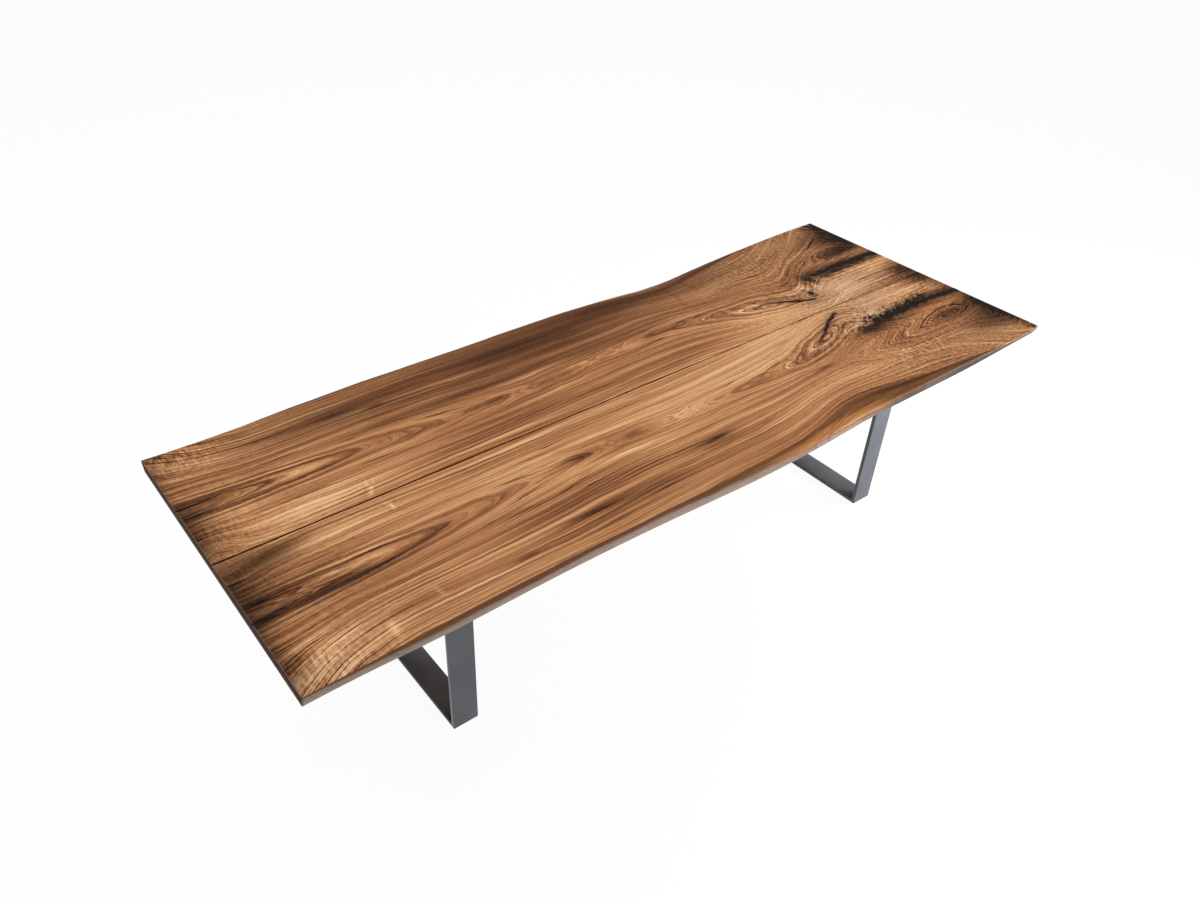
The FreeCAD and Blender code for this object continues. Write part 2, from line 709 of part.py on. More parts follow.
def make_leg(side_name, place_x):
    """One welded leg frame with its glides and fasteners."""
    make_foot_bar(f"{side_name}_foot_bar", place_x)
    make_top_plate(f"{side_name}_top_plate", place_x)
    for position, side in (("front", -1), ("rear", 1)):
        make_upright(f"{side_name}_{position}_upright", place_x, side)
        make_glide(f"{side_name}_{position}_glide", place_x, side)
    make_leg_fasteners(side_name, place_x)


def check_model():
    """Stop if any object failed or any sub-part has no sound solid."""
    doc.recompute()
    for item in doc.Objects:
        if "Invalid" in item.State or "Error" in item.State:
            raise ValueError(f"{item.Label} failed: {item.State}")
    for body in subparts:
        if body.Shape.isNull() or not body.Shape.isValid() or not body.Shape.Solids:
            raise ValueError(f"{body.Label} has no sound solid")


def write_parts():
    """Write each sub-part to its own file."""
    os.makedirs("parts", exist_ok=True)
    for body in subparts:
        body.Shape.exportStep(f"parts/{body.Label}.step")


fill_sheet()
make_plank("plank_front", -1, FRONT_WIDTH, FRONT_EDGE_SHARES, FRONT_FILL_SHARES)
make_plank("plank_rear", 1, REAR_WIDTH, REAR_EDGE_SHARES, REAR_FILL_SHARES)
make_tenons()
for fill_label, fill_rows in FRONT_FILL_SHARES.items():
    make_fill(fill_label, -1, FRONT_WIDTH, fill_rows, has_knot_hole=False)
for fill_label, fill_rows in REAR_FILL_SHARES.items():
    make_fill(fill_label, 1, REAR_WIDTH, fill_rows, has_knot_hole=fill_label == "rear_knot_fill")
for leg_name, leg_place in LEGS.items():
    make_leg(leg_name, leg_place)
for channel_name, channel_place in CHANNELS.items():
    make_channel(f"{channel_name}_channel", channel_place)
make_channel_fasteners()
check_model()
write_parts()
print(len(subparts), "sub-parts written")
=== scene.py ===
import math

import bmesh
import bpy
import numpy as np
from mathutils import Matrix, Vector
from mathutils.bvhtree import BVHTree


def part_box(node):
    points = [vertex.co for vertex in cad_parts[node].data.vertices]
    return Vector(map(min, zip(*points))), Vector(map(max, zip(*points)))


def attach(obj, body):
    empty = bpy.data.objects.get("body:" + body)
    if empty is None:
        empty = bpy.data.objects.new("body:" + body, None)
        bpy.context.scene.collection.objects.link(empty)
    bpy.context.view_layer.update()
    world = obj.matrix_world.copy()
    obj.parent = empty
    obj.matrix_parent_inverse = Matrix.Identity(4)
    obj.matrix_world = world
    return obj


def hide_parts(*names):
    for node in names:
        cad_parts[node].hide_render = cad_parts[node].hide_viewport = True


# Live edge dining table: two book-matched walnut planks on two flat steel leg frames.
# Lengths are in metres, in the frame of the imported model: X along the planks, Y to the rear, Z up.
# A point of a plank is also given by x, its place along the table, and v, its distance from the seam.

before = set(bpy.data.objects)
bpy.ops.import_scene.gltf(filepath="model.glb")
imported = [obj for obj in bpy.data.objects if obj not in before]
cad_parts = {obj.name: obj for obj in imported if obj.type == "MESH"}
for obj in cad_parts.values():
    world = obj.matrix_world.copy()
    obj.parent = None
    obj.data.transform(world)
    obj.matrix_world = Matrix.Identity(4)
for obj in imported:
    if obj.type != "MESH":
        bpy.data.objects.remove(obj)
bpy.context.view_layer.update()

MM = 0.001
SIDES = {"front": -1, "rear": 1}
BAR_NODES = ("foot_bar", "front_upright", "rear_upright", "top_plate")
CHANNEL_NODES = ("left_end_channel", "centre_channel", "right_end_channel")

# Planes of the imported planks
SEAM_Y = (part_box("plank_front")[1].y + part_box("plank_rear")[0].y) / 2
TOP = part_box("plank_rear")[1].z
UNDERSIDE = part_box("plank_rear")[0].z
HALF_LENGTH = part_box("plank_rear")[1].x

# Camera at the photograph's place
CAMERA_PLACE = (-1.9329, -2.2793, 2.6564)
CAMERA_YAW = 0.66206
CAMERA_PITCH = 0.63133
CAMERA_ROLL = 0.01243
CAMERA_LENS = 30.72
CAMERA_RANGE = 100
SENSOR_WIDTH = 36

# Lamps: place, target, size, power and colour. The two cool ones light the legs.
LAMPS = {
    "key": ((-1.5, 1.5, 5.0), (0, 0, 0.7), (5, 4), 117, (1, 1, 1)),
    "fill": ((3.2, -2.3, 1.0), (0.95, -0.2, 0.25), (2.0, 1.6), 205, (0.92, 0.97, 1.0)),
    "low_fill": ((2.5, -1.3, 0.45), (0.95, 0, 0.1), (1.0, 0.5), 110, (0.92, 0.97, 1.0)),
}
AMBIENT = 0.55
FLOOR_REACH = 40
FLOOR_WHITE = 0.94

# Mesh of a plank
STATION_STEP = 6 * MM
TOP_STEPS = 96
UNDERSIDE_STEPS = 14
WANE_LEVELS = 26
WANE_POINTS = 22
WANE_ROUNDINGS = 2
ARRIS = 1.2 * MM
SEAM_GROOVE = 14 * MM
SEAM_RAY_DEPTH = 4 * MM
RAY_START = 0.1
EDGE_CLEARANCE = 0.05 * MM
SHARP_ANGLE = math.radians(50)
LOWER_BAND = 13 * MM
TURN_STATIONS = 31
SWELL_POWER = 0.7
SAP_WIDTHS = (18 * MM, 44 * MM)

# Fillings and cuts
FILL_STEP = 5 * MM
FEWEST_FILL_STEPS = 8
LEAST_FILL = 0.25 * MM
LONG_FILL_SHARE = 1.3
FIRST_FILL_SEED = 110
FILL_SEED_STEP = 10
FILL_SINK = 0.15 * MM
CUT_OVERRUN = 4 * MM
CHANNEL_WALL = 3 * MM
CHANNEL_CLEARANCE = 0.3 * MM
PLUG_POINTS = 28
PLUG_MEAN_SHARE = 0.94
POINT_DIGITS = 6
PLACE_DIGITS = 5

# Bars of the legs
BAR_EDGE_RADIUS = 1.0 * MM
BAR_EDGE_STEPS = 3
BAR_FLAT_ANGLE = math.radians(1)
BAR_SHARP_ANGLE = math.radians(32)
LONG_EDGE_SHARE = 5
MERGE_DISTANCE = EDGE_CLEARANCE / 10

# Seeded wanderings: amount, features per unit along and across, seed.
NOISE_LATTICE = 64
CRACK_WANDER = 2.0 * MM
WANDERS = {
    "slow_sway": (10 * MM, 1.7, 4, 11), "quick_sway": (4 * MM, 5, 11, 12),
    "heart_depth": (3 * MM, 2.2, 0, 13), "tremble": (1.5 * MM, 14, 30, 14),
    "stir_along": (8 * MM, 13, 24, 15), "stir_across": (6 * MM, 12, 23, 17),
    "warp_along": (20 * MM, 6, 14, 31), "warp_across": (7 * MM, 5, 16, 32),
    "long_wave": (1.5 * MM, 11, 2.5, 21), "short_wave": (0.45 * MM, 55, 7, 24),
    "crack": (CRACK_WANDER, 40, 0, 41), "plug_share": (0.10, 1.3, 0, 0),
    "fill_drift_share": (0.5, 22, 0, 0), "fill_coarse_share": (0.55, 38, 0, 0),
    "fill_fine_share": (0.35, 75, 0, 1),
}

# Lengths in the tables from here to the cracks are in millimetres.

# Growth lines are level lines of the distance from a hidden heart line. Each row gives a place along
# the table, the heart line's distance from the seam and its depth below the top.
HEART_LINES = {
    "front": (
        (-1500, 245, 20), (-1200, 240, 34), (-890, 233, 52), (-630, 225, 66), (-280, 202, 78),
        (50, 213, 78), (290, 214, 70), (450, 210, 60), (560, 203, 54), (680, 187, 48), (750, 160, 46),
        (840, 110, 46), (930, 85, 46), (1000, 120, 42), (1060, 172, 38), (1120, 184, 34), (1500, 195, 28),
    ),
    "rear": (
        (-1500, 262, 20), (-1200, 252, 36), (-890, 247, 54), (-590, 236, 68), (-280, 222, 80),
        (70, 240, 80), (290, 255, 72), (450, 240, 62), (600, 212, 56), (720, 196, 50), (800, 178, 46),
        (890, 131, 44), (970, 105, 44), (1030, 150, 42), (1090, 222, 38), (1160, 239, 34), (1500, 236, 28),
    ),
}
LINE_ROUNDING = 0.05
LINE_SAMPLES = 7
MEAN_HEART = 0.225
MEAN_EDGE = 0.565
SEAM_CROWDING = 0.6

# Lines that fan out towards the right end: first and last place of the turn, share.
END_FANS = {"front": (1050, 1500, 0.45), "rear": (1020, 1460, 0.50)}

# Diamond eyes on the heart line: place, distance from the seam, reach along and across, rise of the lines.
EYES = {
    "front": (
        (-278, 200, 50, 22, 16), (50, 213, 75, 14, 10), (293, 218, 50, 12, -12), (-450, 210, 70, 10, -8),
        (170, 213, 40, 10, -8), (420, 208, 50, 14, 12),
    ),
    "rear": (
        (-283, 221, 55, 18, 14), (68, 243, 85, 13, 10), (293, 257, 55, 12, -12), (-430, 235, 60, 10, -8),
        (170, 240, 40, 10, -8), (420, 250, 60, 13, 12),
    ),
}
DIAMOND_POWER = 1.5
DIAMOND_ROUNDING = 0.02

# Swirls lift the growth lines, or lower them where below zero: place, distance from the seam,
# reach along and across, rise.
SWIRLS = {
    "front": ((-1310, 238, 110, 12, 14), (-1470, 75, 80, 60, 28), (-1580, 620, 200, 180, -120)),
    "rear": ((-1470, 70, 80, 60, 42), (-1580, 660, 220, 180, -110)),
}

# Knots: place, distance from the seam, reach to the left and to the right, half breadth, and lean
# towards the seam in degrees.
KNOTS = {
    "front": ((780, 148, 310, 200, 68, 17), (1300, 303, 380, 280, 80, 3)),
    "rear": ((790, 152, 340, 200, 62, 14), (995, 112, 50, 50, 26, 25), (1350, 332, 140, 130, 60, 2)),
}
KNOT_CORE = 0.25
KNOT_BLEND = 0.020
KNOT_POWER = 1.6
KNOT_STEEPNESS = 1.1
KNOT_CLOSING = 1.5

# Turns along the plank, first and last place, and what changes there.
LEFT_TURN = (-0.90, -1.30)
LEFT_CONTRAST = 0.25
LEFT_FLECK = 0.7
MIDDLE_TURN = (0.25, 0.55)
MIDDLE_FLECK = 0.6
RIGHT_TURN = (0.55, 1.00)
RIGHT_CONTRAST = 0.22
RIGHT_FLECK = 0.8
KNOT_CONTRAST = 0.40
STEADY_TURN = (0.9, 1.2)
STEADY_SHARE = 0.7

# The next six tables hold soft zones: place, distance from the seam, reach along and across, amount.

# Lighter wood, and darker wood where below zero
TONES = {
    "front": (
        (0, 140, 750, 150, 0.48), (-750, 150, 400, 120, 0.12), (300, 420, 600, 120, 0.02),
        (-1500, 130, 120, 140, -0.35), (-1460, 300, 120, 70, -0.1), (-1500, 450, 70, 200, -0.35),
        (-1200, 75, 200, 40, 0.85), (-1300, 30, 100, 12, -0.55), (-1300, 237, 100, 10, 0.75),
        (-1080, 250, 140, 13, -0.95), (-1200, 166, 140, 10, -0.75), (-1230, 510, 80, 40, 0.55),
        (-1380, 430, 160, 70, 0.48), (-900, 120, 350, 60, 0.25), (-950, 545, 300, 20, 0.45),
        (-540, 447, 100, 10, -1.3), (-260, 446, 160, 14, -0.55), (-350, 262, 240, 12, 0.8),
        (-390, 205, 80, 18, -1.1), (-170, 205, 60, 16, -0.85), (-278, 200, 32, 18, 0.65),
        (-700, 312, 80, 7, -1), (-785, 491, 40, 8, -1.2), (-80, 300, 200, 10, 0.4), (-1000, 60, 7, 25, 0.9),
        (-1222, 512, 9, 32, 1.1), (-1050, 455, 8, 22, 0.8), (-450, 370, 400, 80, -0.38),
        (40, 213, 60, 16, 0.6), (0, 388, 60, 12, -1.1), (-20, 420, 100, 10, -0.45),
        (200, 330, 400, 80, 0.12), (270, 215, 70, 18, -0.4), (550, 60, 300, 60, 0.45),
        (700, 190, 110, 32, 0.3), (830, 20, 200, 40, 0.6), (250, 130, 320, 120, 0.45),
        (620, 90, 220, 80, 0.48), (900, 165, 100, 30, 0.35), (970, 204, 90, 20, -0.7),
        (1150, 85, 160, 35, 0.62), (1320, 70, 120, 35, 0.7), (1030, 130, 90, 28, 0.6),
        (-1400, 525, 110, 55, 0.6), (-1460, 470, 50, 50, -0.8), (1050, 320, 200, 90, 0.3),
        (1200, 480, 250, 60, 0.3), (1300, 303, 70, 16, -0.75), (1490, 330, 90, 120, -0.7),
        (1460, 30, 100, 50, -0.6), (500, 380, 300, 60, 0.22), (1360, 42, 90, 6, -0.9),
        (-800, 430, 260, 100, 0.34),
    ),
    "rear": (
        (-200, 460, 600, 120, -0.5), (650, 120, 250, 80, 0.35), (-400, 140, 350, 100, -0.32),
        (-1500, 120, 100, 130, -0.3), (-1470, 260, 100, 60, -0.35), (-1460, 570, 60, 50, -0.75),
        (-1220, 75, 220, 50, 1.2), (-1000, 35, 8, 25, 1), (-1360, 170, 120, 50, 0.5),
        (-1330, 440, 120, 30, 0.4), (-1310, 246, 100, 16, 0.55), (-1100, 252, 90, 14, 0.5),
        (-1220, 210, 160, 12, -0.5), (-900, 467, 80, 8, -1.2), (-790, 443, 30, 7, -1.2),
        (-830, 388, 110, 10, -0.55), (-800, 340, 140, 14, -0.55), (-840, 250, 50, 12, -0.35),
        (-700, 250, 90, 16, 0.3), (-850, 100, 400, 50, 0.3), (-150, 490, 450, 70, -0.35),
        (-350, 310, 400, 16, -0.65), (50, 285, 250, 12, -0.45), (-350, 425, 340, 10, 0.55),
        (-300, 365, 350, 8, 0.35), (-420, 232, 100, 12, -0.45), (-180, 222, 90, 10, -0.45),
        (-283, 221, 35, 12, 0.45), (50, 243, 90, 12, 0.45), (160, 240, 50, 12, 0.45),
        (270, 254, 60, 15, -0.55), (400, 262, 80, 12, 0.45), (500, 510, 140, 50, -0.35),
        (531, 430, 8, 100, -0.35), (644, 480, 8, 70, -0.3), (450, 80, 250, 50, -0.15),
        (720, 90, 200, 60, 0.9), (700, 205, 110, 34, 0.75), (800, 30, 200, 40, 0.55),
        (950, 180, 100, 30, 0.3), (1160, 110, 120, 65, 1), (1045, 165, 35, 35, 0.9),
        (1060, 30, 140, 30, 0.4), (1360, 150, 90, 40, 0.9), (1000, 470, 200, 80, 0.3),
        (1200, 520, 160, 60, 0.3), (1280, 400, 120, 30, 0.25), (1350, 330, 80, 28, -0.8),
        (1470, 60, 90, 60, -0.6), (1470, 170, 50, 30, 0.25), (1300, 96, 100, 6, -1), (1330, 58, 90, 6, -1),
        (1270, 132, 70, 5, -0.7),
    ),
}

# Darker heartwood
SHADES = {
    "front": (
        (-1550, 150, 200, 180, 0.88), (-1360, 220, 180, 50, 0.22), (-1540, 450, 80, 250, 1),
        (-1200, 277, 220, 20, 0.85), (-1360, 50, 120, 40, 0.5), (1540, 300, 100, 280, 1),
        (1500, 20, 130, 60, 0.85), (1160, 180, 190, 55, 0.75), (680, 190, 140, 26, 0.38),
        (-450, 445, 220, 18, 0.45), (-20, 392, 130, 20, 0.5), (1300, 303, 120, 42, 0.55),
        (1000, 235, 140, 26, 0.45), (970, 204, 95, 24, 0.62), (1400, 420, 140, 110, 0.65),
        (1150, 460, 250, 80, 0.35), (950, 130, 80, 30, 0.35),
    ),
    "rear": (
        (-1540, 130, 120, 170, 1), (-1420, 265, 180, 40, 0.4), (-1540, 470, 70, 220, 0.9),
        (-120, 455, 620, 120, 0.68), (-150, 585, 800, 50, 0.4), (-950, 470, 280, 90, 0.52),
        (-550, 325, 450, 25, 0.45), (320, 530, 260, 60, 0.5), (1540, 450, 170, 130, 1.3),
        (1500, 50, 130, 70, 1.1), (1160, 245, 170, 48, 0.7), (700, 205, 130, 24, 0.3),
        (150, 320, 300, 25, 0.4), (1350, 332, 100, 38, 0.75), (800, 470, 350, 110, 0.46),
        (1250, 480, 220, 110, 0.35), (-1250, 460, 200, 100, 0.15),
    ),
}

# Black stains
STAINS = {
    "front": (
        (1540, 450, 105, 90, 1.05), (1540, 330, 90, 90, 0.95), (1560, 30, 95, 50, 0.75),
        (980, 203, 90, 14, 0.34), (1100, 180, 100, 34, 0.9), (1280, 152, 120, 30, 0.8),
        (0, 387, 45, 4.5, 0.75), (1545, 555, 75, 50, 0.85),
    ),
    "rear": (
        (1540, 500, 130, 100, 1.1), (1540, 400, 115, 65, 1), (1560, 60, 95, 60, 0.75),
        (1420, 335, 80, 30, 0.55), (1085, 222, 45, 24, 0.48), (1200, 190, 80, 18, 0.5),
        (1330, 212, 170, 15, 0.85), (1530, 585, 110, 35, 1),
    ),
}

# Cross ripple
RIPPLES = {
    "front": (
        (-1460, 100, 100, 160, 0.6), (-1420, 520, 140, 80, 0.85), (680, 185, 150, 30, 1.1),
        (1000, 160, 140, 60, 1.5), (1240, 150, 220, 55, 1.1), (1020, 420, 180, 80, 0.9),
        (-1000, 60, 30, 50, 0.5), (1460, 400, 120, 120, 0.7), (1460, 50, 100, 60, 0.8),
    ),
    "rear": (
        (-1460, 100, 100, 160, 0.6), (-1430, 540, 130, 90, 1), (720, 195, 150, 28, 1.1),
        (1040, 190, 140, 60, 0.8), (1220, 215, 220, 55, 0.9), (950, 450, 170, 80, 1),
        (-1000, 60, 30, 50, 0.5), (1440, 460, 140, 120, 0.8), (1460, 70, 100, 70, 0.8),
    ),
}

# Paler, greyer wood
PALES = {
    "front": ((1100, 60, 180, 60, 0.32), (1030, 130, 100, 40, 0.28), (-1400, 540, 120, 50, 0.22)),
    "rear": ((1120, 100, 180, 80, 0.4), (1080, 20, 180, 40, 0.2)),
}

# Plainer wood with weaker lines, and livelier wood where below zero
CALMS = {
    "front": (
        (-1430, 535, 110, 65, -0.6), (1270, 244, 170, 24, 0.85), (1450, 260, 60, 50, 0.5),
        (1320, 500, 220, 80, 0.62), (1200, 70, 150, 40, 0.45),
    ),
    "rear": (
        (-1440, 550, 100, 70, -0.6), (-50, 530, 600, 140, 0.5), (1320, 292, 150, 24, 0.8),
        (1300, 360, 60, 30, 0.4), (1250, 510, 240, 90, 0.6), (1170, 100, 120, 60, 0.45),
    ),
}

# Thin cracks: place and distance from the seam of both ends, and half the width.
CRACKS = {
    "front": ((-1560, 111, -1440, 106, 4.5), (-1620, 290, -1380, 268, 3.2)),
    "rear": (
        (1262, 412, 1400, 484, 3.8), (-1540, 122, -1462, 122, 3.4), (-1640, 282, -1350, 284, 3.2),
    ),
}
CRACK_REACH = 20 * MM

# Dark halo round each filling: reach and strength of the black stain, then of the darker wood round it.
FILL_HALOS = {
    "end_fill": (4 * MM, 0.60, 14 * MM, 0.40),
    "knot_fill": (9 * MM, 1.05, 24 * MM, 0.60),
    "bark_fill": (16 * MM, 1.25, 46 * MM, 0.95),
}
HALO_TURN = (-0.03, 0.12)

# Noise layers of the walnut: features per unit along and across, offset, detail and roughness.
WALNUT_LAYERS = {
    "tremor": (26, 60, 8, 2, 0.5), "broad": (0.7, 32, 0, 2, 0.5), "lines": (0.9, 130, 3, 3, 0.55),
    "fine": (2.5, 420, 6, 3, 0.6), "crossing": (0.8, 62, 7, 1, 0.5), "fibre": (22, 900, 1, 3, 0.6),
    "pores": (46, 820, 5, 1, 0.5), "curl": (100, 26, 2, 4, 0.6), "strokes": (66, 26, 2, 4, 0.6),
    "feather": (80, 24, 6, 3, 0.6), "fleck": (46, 150, 3, 3, 0.6), "patch": (2.6, 7, 4, 2, 0.5),
    "rim_streak": (7, 6, 9, 2, 0.5), "sap_streak": (5, 13, 4, 3, 0.6), "arcs": (40, 330, 0, 4, 0.7),
}
NOISE_MIDDLE = 0.5
STROKE_DISTORTION = 0.8

# How much each layer lightens the walnut, or darkens it where below zero.
MEAN_LIGHTNESS = 0.57
LIGHTNESS = {
    "broad": 0.75, "lines": 1.15, "fine": 0.95, "crossing": -0.34, "eye_rings": -0.26, "fibre": 0.28,
    "patch": 0.30, "tone": 0.26, "waves": 1.7, "fleck": 0.70, "pores": -0.10,
}

# Soft turns in the walnut: the levels at which a share is 0 and 1.
WALNUT_TURNS = {
    "crossing": (0, 0.05), "line_patch": (0.35, 0.62), "eye_rings": (0.45, 1), "pores": (0.62, 0.72),
    "stroke_place": (-0.2, 0.2), "stroke_reach": (0.38, 0.3), "shade": (0, 1.1), "pale": (0.25, 0.7),
    "shaded_narrow_rim": (0.55, 1), "shaded_golden_rim": (0.45, 0.75), "sap_streak": (0.47, 0.74), "rim_lines": (0.55, 0.85),
    "wane": (0.02, 0.14), "underside": (-0.98, -0.9), "stain": (0.16, 0.8), "end_grain": (0.75, 0.9),
    "crack": (0.7 * MM, -0.7 * MM), "end_arris_highlight": (4.5 * MM, 2.5 * MM),
}

# Colours of the walnut, as 8-bit levels: plain tints, then ramps with the position of each colour.
# The end arris tint is a painted highlight.
WALNUT_TINTS = {
    "shade": (112, 108, 110), "pale": (208, 178, 150), "sap_streak": (78, 49, 31),
    "rim_lines": (48, 32, 24), "black": (24, 14, 9), "end_arris_highlight": (124, 94, 76),
}
WALNUT_RAMPS = {
    "heartwood": (
        (0, (46, 27, 18)), (0.22, (90, 55, 35)), (0.42, (138, 89, 57)), (0.6, (174, 119, 78)),
        (0.78, (205, 152, 105)), (1, (234, 192, 144)),
    ),
    # In the rims below, 0 is the top arris and 1 the lower arris; past 0.5 the wane faces down. The pale
    # grey there in the first and third rims is painted floor light, and the dip at 0.5 in the third and
    # fourth rims is painted shadow under the widest point. The second and fourth rims are darker copies of
    # the first and third for the right end: painted shade, darkest where the wane faces down.
    "narrow_rim": (
        (0, (134, 88, 56)), (0.22, (94, 61, 41)), (0.42, (98, 68, 50)), (0.56, (122, 103, 92)),
        (0.95, (136, 120, 110)),
    ),
    "shaded_narrow_rim": (
        (0, (110, 73, 47)), (0.22, (69, 45, 30)), (0.46, (69, 47, 33)), (0.58, (46, 36, 30)),
        (0.95, (38, 32, 28)),
    ),
    "golden_rim": (
        (0, (128, 84, 54)), (0.08, (90, 57, 37)), (0.2, (124, 80, 50)), (0.3, (172, 117, 68)),
        (0.42, (158, 108, 64)), (0.5, (108, 78, 57)), (0.6, (126, 99, 82)), (0.95, (120, 102, 90)),
    ),
    "shaded_golden_rim": (
        (0, (94, 60, 38)), (0.08, (62, 39, 26)), (0.2, (78, 50, 31)), (0.3, (110, 71, 43)),
        (0.42, (91, 59, 36)), (0.5, (66, 45, 32)), (0.6, (66, 52, 43)), (0.95, (60, 50, 44)),
    ),
    "end_grain": ((0.3, (26, 16, 11)), (0.7, (54, 36, 26))),
}

# Other amounts in the walnut
TREMOR = 4 * MM
EYE_RINGS = 760
EYE_TREMOR = 2.5
LEAN_COSINE = 0.8
LEAN_SINE = 0.6
SHADE_LINES = 0.9
SHADE_WAVES = 0.5
RIM_STREAK = 0.20
FEATHER_STRENGTH = 3.4
FEATHER_START = 0.26
SEAM_LINE = 2.4 * MM
SEAM_LINE_TAPER = 0.55 * MM
# Strength of the painted highlight on the end arris
END_ARRIS_HIGHLIGHT_SHARE = 0.55


def smoothstep(low, high, level):
    """Smooth rise from 0 at low to 1 at high."""
    share = np.clip((level - low) / (high - low), 0, 1)
    return share * share * (3 - 2 * share)


def smooth_noise(across, up, seed):
    """Seeded smooth noise between -1 and 1 with a feature size of one."""
    lattice = np.random.default_rng(seed).uniform(-1, 1, (NOISE_LATTICE, NOISE_LATTICE))
    column = np.floor(across).astype(int)
    row = np.floor(up).astype(int)
    share_x = smoothstep(0, 1, across - column)
    share_y = smoothstep(0, 1, up - row)

    def level(row):
        near = lattice[column % NOISE_LATTICE, row % NOISE_LATTICE]
        far = lattice[(column + 1) % NOISE_LATTICE, row % NOISE_LATTICE]
        return near * (1 - share_x) + far * share_x

    return level(row) * (1 - share_y) + level(row + 1) * share_y


def wander(kind, along, across, seed_shift=0):
    """Seeded wandering of one kind."""
    amount, rate_along, rate_across, seed = WANDERS[kind]
    return amount * smooth_noise(along * rate_along, across * rate_across, seed + seed_shift)


def metres(row):
    """A row of millimetres, in metres."""
    return [MM * length for length in row]


def soft_spot(x, v, spot_x, spot_v, reach_x, reach_v):
    """Bell-shaped spot on the plank, 1 in its middle."""
    return np.exp(-(((x - spot_x) / reach_x) ** 2) - ((v - spot_v) / reach_v) ** 2)


def diamond_spot(x, v, spot_x, spot_v, reach_x, reach_v):
    """Pointed spot on the plank with a diamond outline."""
    along = np.sqrt(((x - spot_x) / reach_x) ** 2 + DIAMOND_ROUNDING)
    across = np.sqrt(((v - spot_v) / reach_v) ** 2 + DIAMOND_ROUNDING)
    return np.exp(-((along + across) ** DIAMOND_POWER))


def spot_sum(x, v, rows, spot=soft_spot):
    """Sum of spots whose last value is their amount."""
    return sum(amount * spot(x, v, *metres(lengths)) for *lengths, amount in rows)


def smooth_line(x, rows, column):
    """A value given by rows along the table, with its corners rounded."""
    places = metres(row[0] for row in rows)
    values = metres(row[column] for row in rows)
    shifts = np.linspace(-LINE_ROUNDING, LINE_ROUNDING, LINE_SAMPLES)
    return np.mean([np.interp(x + shift, places, values) for shift in shifts], 0)


def knot_radius(x, v, knot):
    """Distance from the middle of a knot, 1 on its lens-shaped outline."""
    *lengths, lean = knot
    knot_x, knot_v, left, right, half_breadth = metres(lengths)
    cosine = math.cos(math.radians(lean))
    sine = math.sin(math.radians(lean))
    along = (x - knot_x) * cosine - (v - knot_v) * sine
    along = np.where(along < 0, -along / left, along / right)
    across = np.abs((x - knot_x) * sine + (v - knot_v) * cosine) / half_breadth
    return (along**KNOT_POWER + across**KNOT_POWER + KNOT_CORE**KNOT_POWER) ** (1 / KNOT_POWER)


def heart_distance(x, v, name, edge):
    """Distance from the heart line, with the wood on both sides of it stretched to the plank's edges."""
    heart = smooth_line(x, HEART_LINES[name], 1)
    depth = smooth_line(x, HEART_LINES[name], 2) + wander("heart_depth", x, v)
    *fan_turn, fan = END_FANS[name]
    outer = (MEAN_EDGE - MEAN_HEART) / (edge - heart) * (1 - fan * smoothstep(*metres(fan_turn), x))
    inner = (MEAN_HEART / heart) ** SEAM_CROWDING
    follow = (v - heart) * np.where(v > heart, outer, inner)
    sway = wander("slow_sway", x, v) + wander("quick_sway", x, v)
    sway = sway * (1 - STEADY_SHARE * smoothstep(*STEADY_TURN, x))
    return np.sqrt((follow + sway) ** 2 + depth**2)


def growth_lines(x, v, name, edge):
    """Growth-line coordinate of a plank: its level lines are the lines of the grain."""
    ring = heart_distance(x, v, name, edge) + MM * spot_sum(x, v, SWIRLS[name])
    ring = ring + MM * spot_sum(x, v, EYES[name], diamond_spot)
    stir_x = x + wander("stir_along", x, v)
    stir_v = v + wander("stir_across", x, v)
    for knot in KNOTS[name]:
        radius = knot_radius(stir_x, stir_v, knot)
        half_breadth = MM * knot[4]
        level = KNOT_STEEPNESS * half_breadth * (radius + KNOT_CLOSING * np.maximum(radius - 1, 0) ** 2)
        share = np.clip(0.5 + 0.5 * (ring - level) / KNOT_BLEND, 0, 1)
        ring = ring + (level - ring) * share - KNOT_BLEND * share * (1 - share)
    return ring + wander("tremble", x, v)


def segment_places(x, v, x0, v0, x1, v1):
    """Distance along and across a segment from its start, and its length."""
    length = math.hypot(x1 - x0, v1 - v0)
    along = ((x - x0) * (x1 - x0) + (v - v0) * (v1 - v0)) / length
    across = ((x - x0) * (v1 - v0) - (v - v0) * (x1 - x0)) / length
    return along, across, length


def line_distance(x, v, points):
    """Distance to a polyline."""
    nearest = np.full(x.shape, np.inf)
    for start, end in zip(points, points[1:]):
        along, across, length = segment_places(x, v, *start, *end)
        nearest = np.minimum(nearest, np.hypot(along - np.clip(along, 0, length), across))
    return nearest


def crack_lines(x, v, rows):
    """Signed distance from the nearest crack and half its width, below zero where there is none."""
    offset = np.full(x.shape, CRACK_REACH)
    width = np.full(x.shape, -CRACK_WANDER)
    for *ends, half in map(metres, rows):
        along, across, length = segment_places(x, v, *ends)
        across = across + wander("crack", along, along)
        taper = np.maximum(1 - (2 * along / length - 1) ** 2, -1)
        near = np.abs(across) < CRACK_REACH
        offset = np.where(near, across, offset)
        width = np.where(near, half * taper, width)
    return offset, width


def mesh_arrays(node):
    """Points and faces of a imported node."""
    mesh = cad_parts[node].data
    return np.array([point.co for point in mesh.vertices]), [tuple(face.vertices) for face in mesh.polygons]


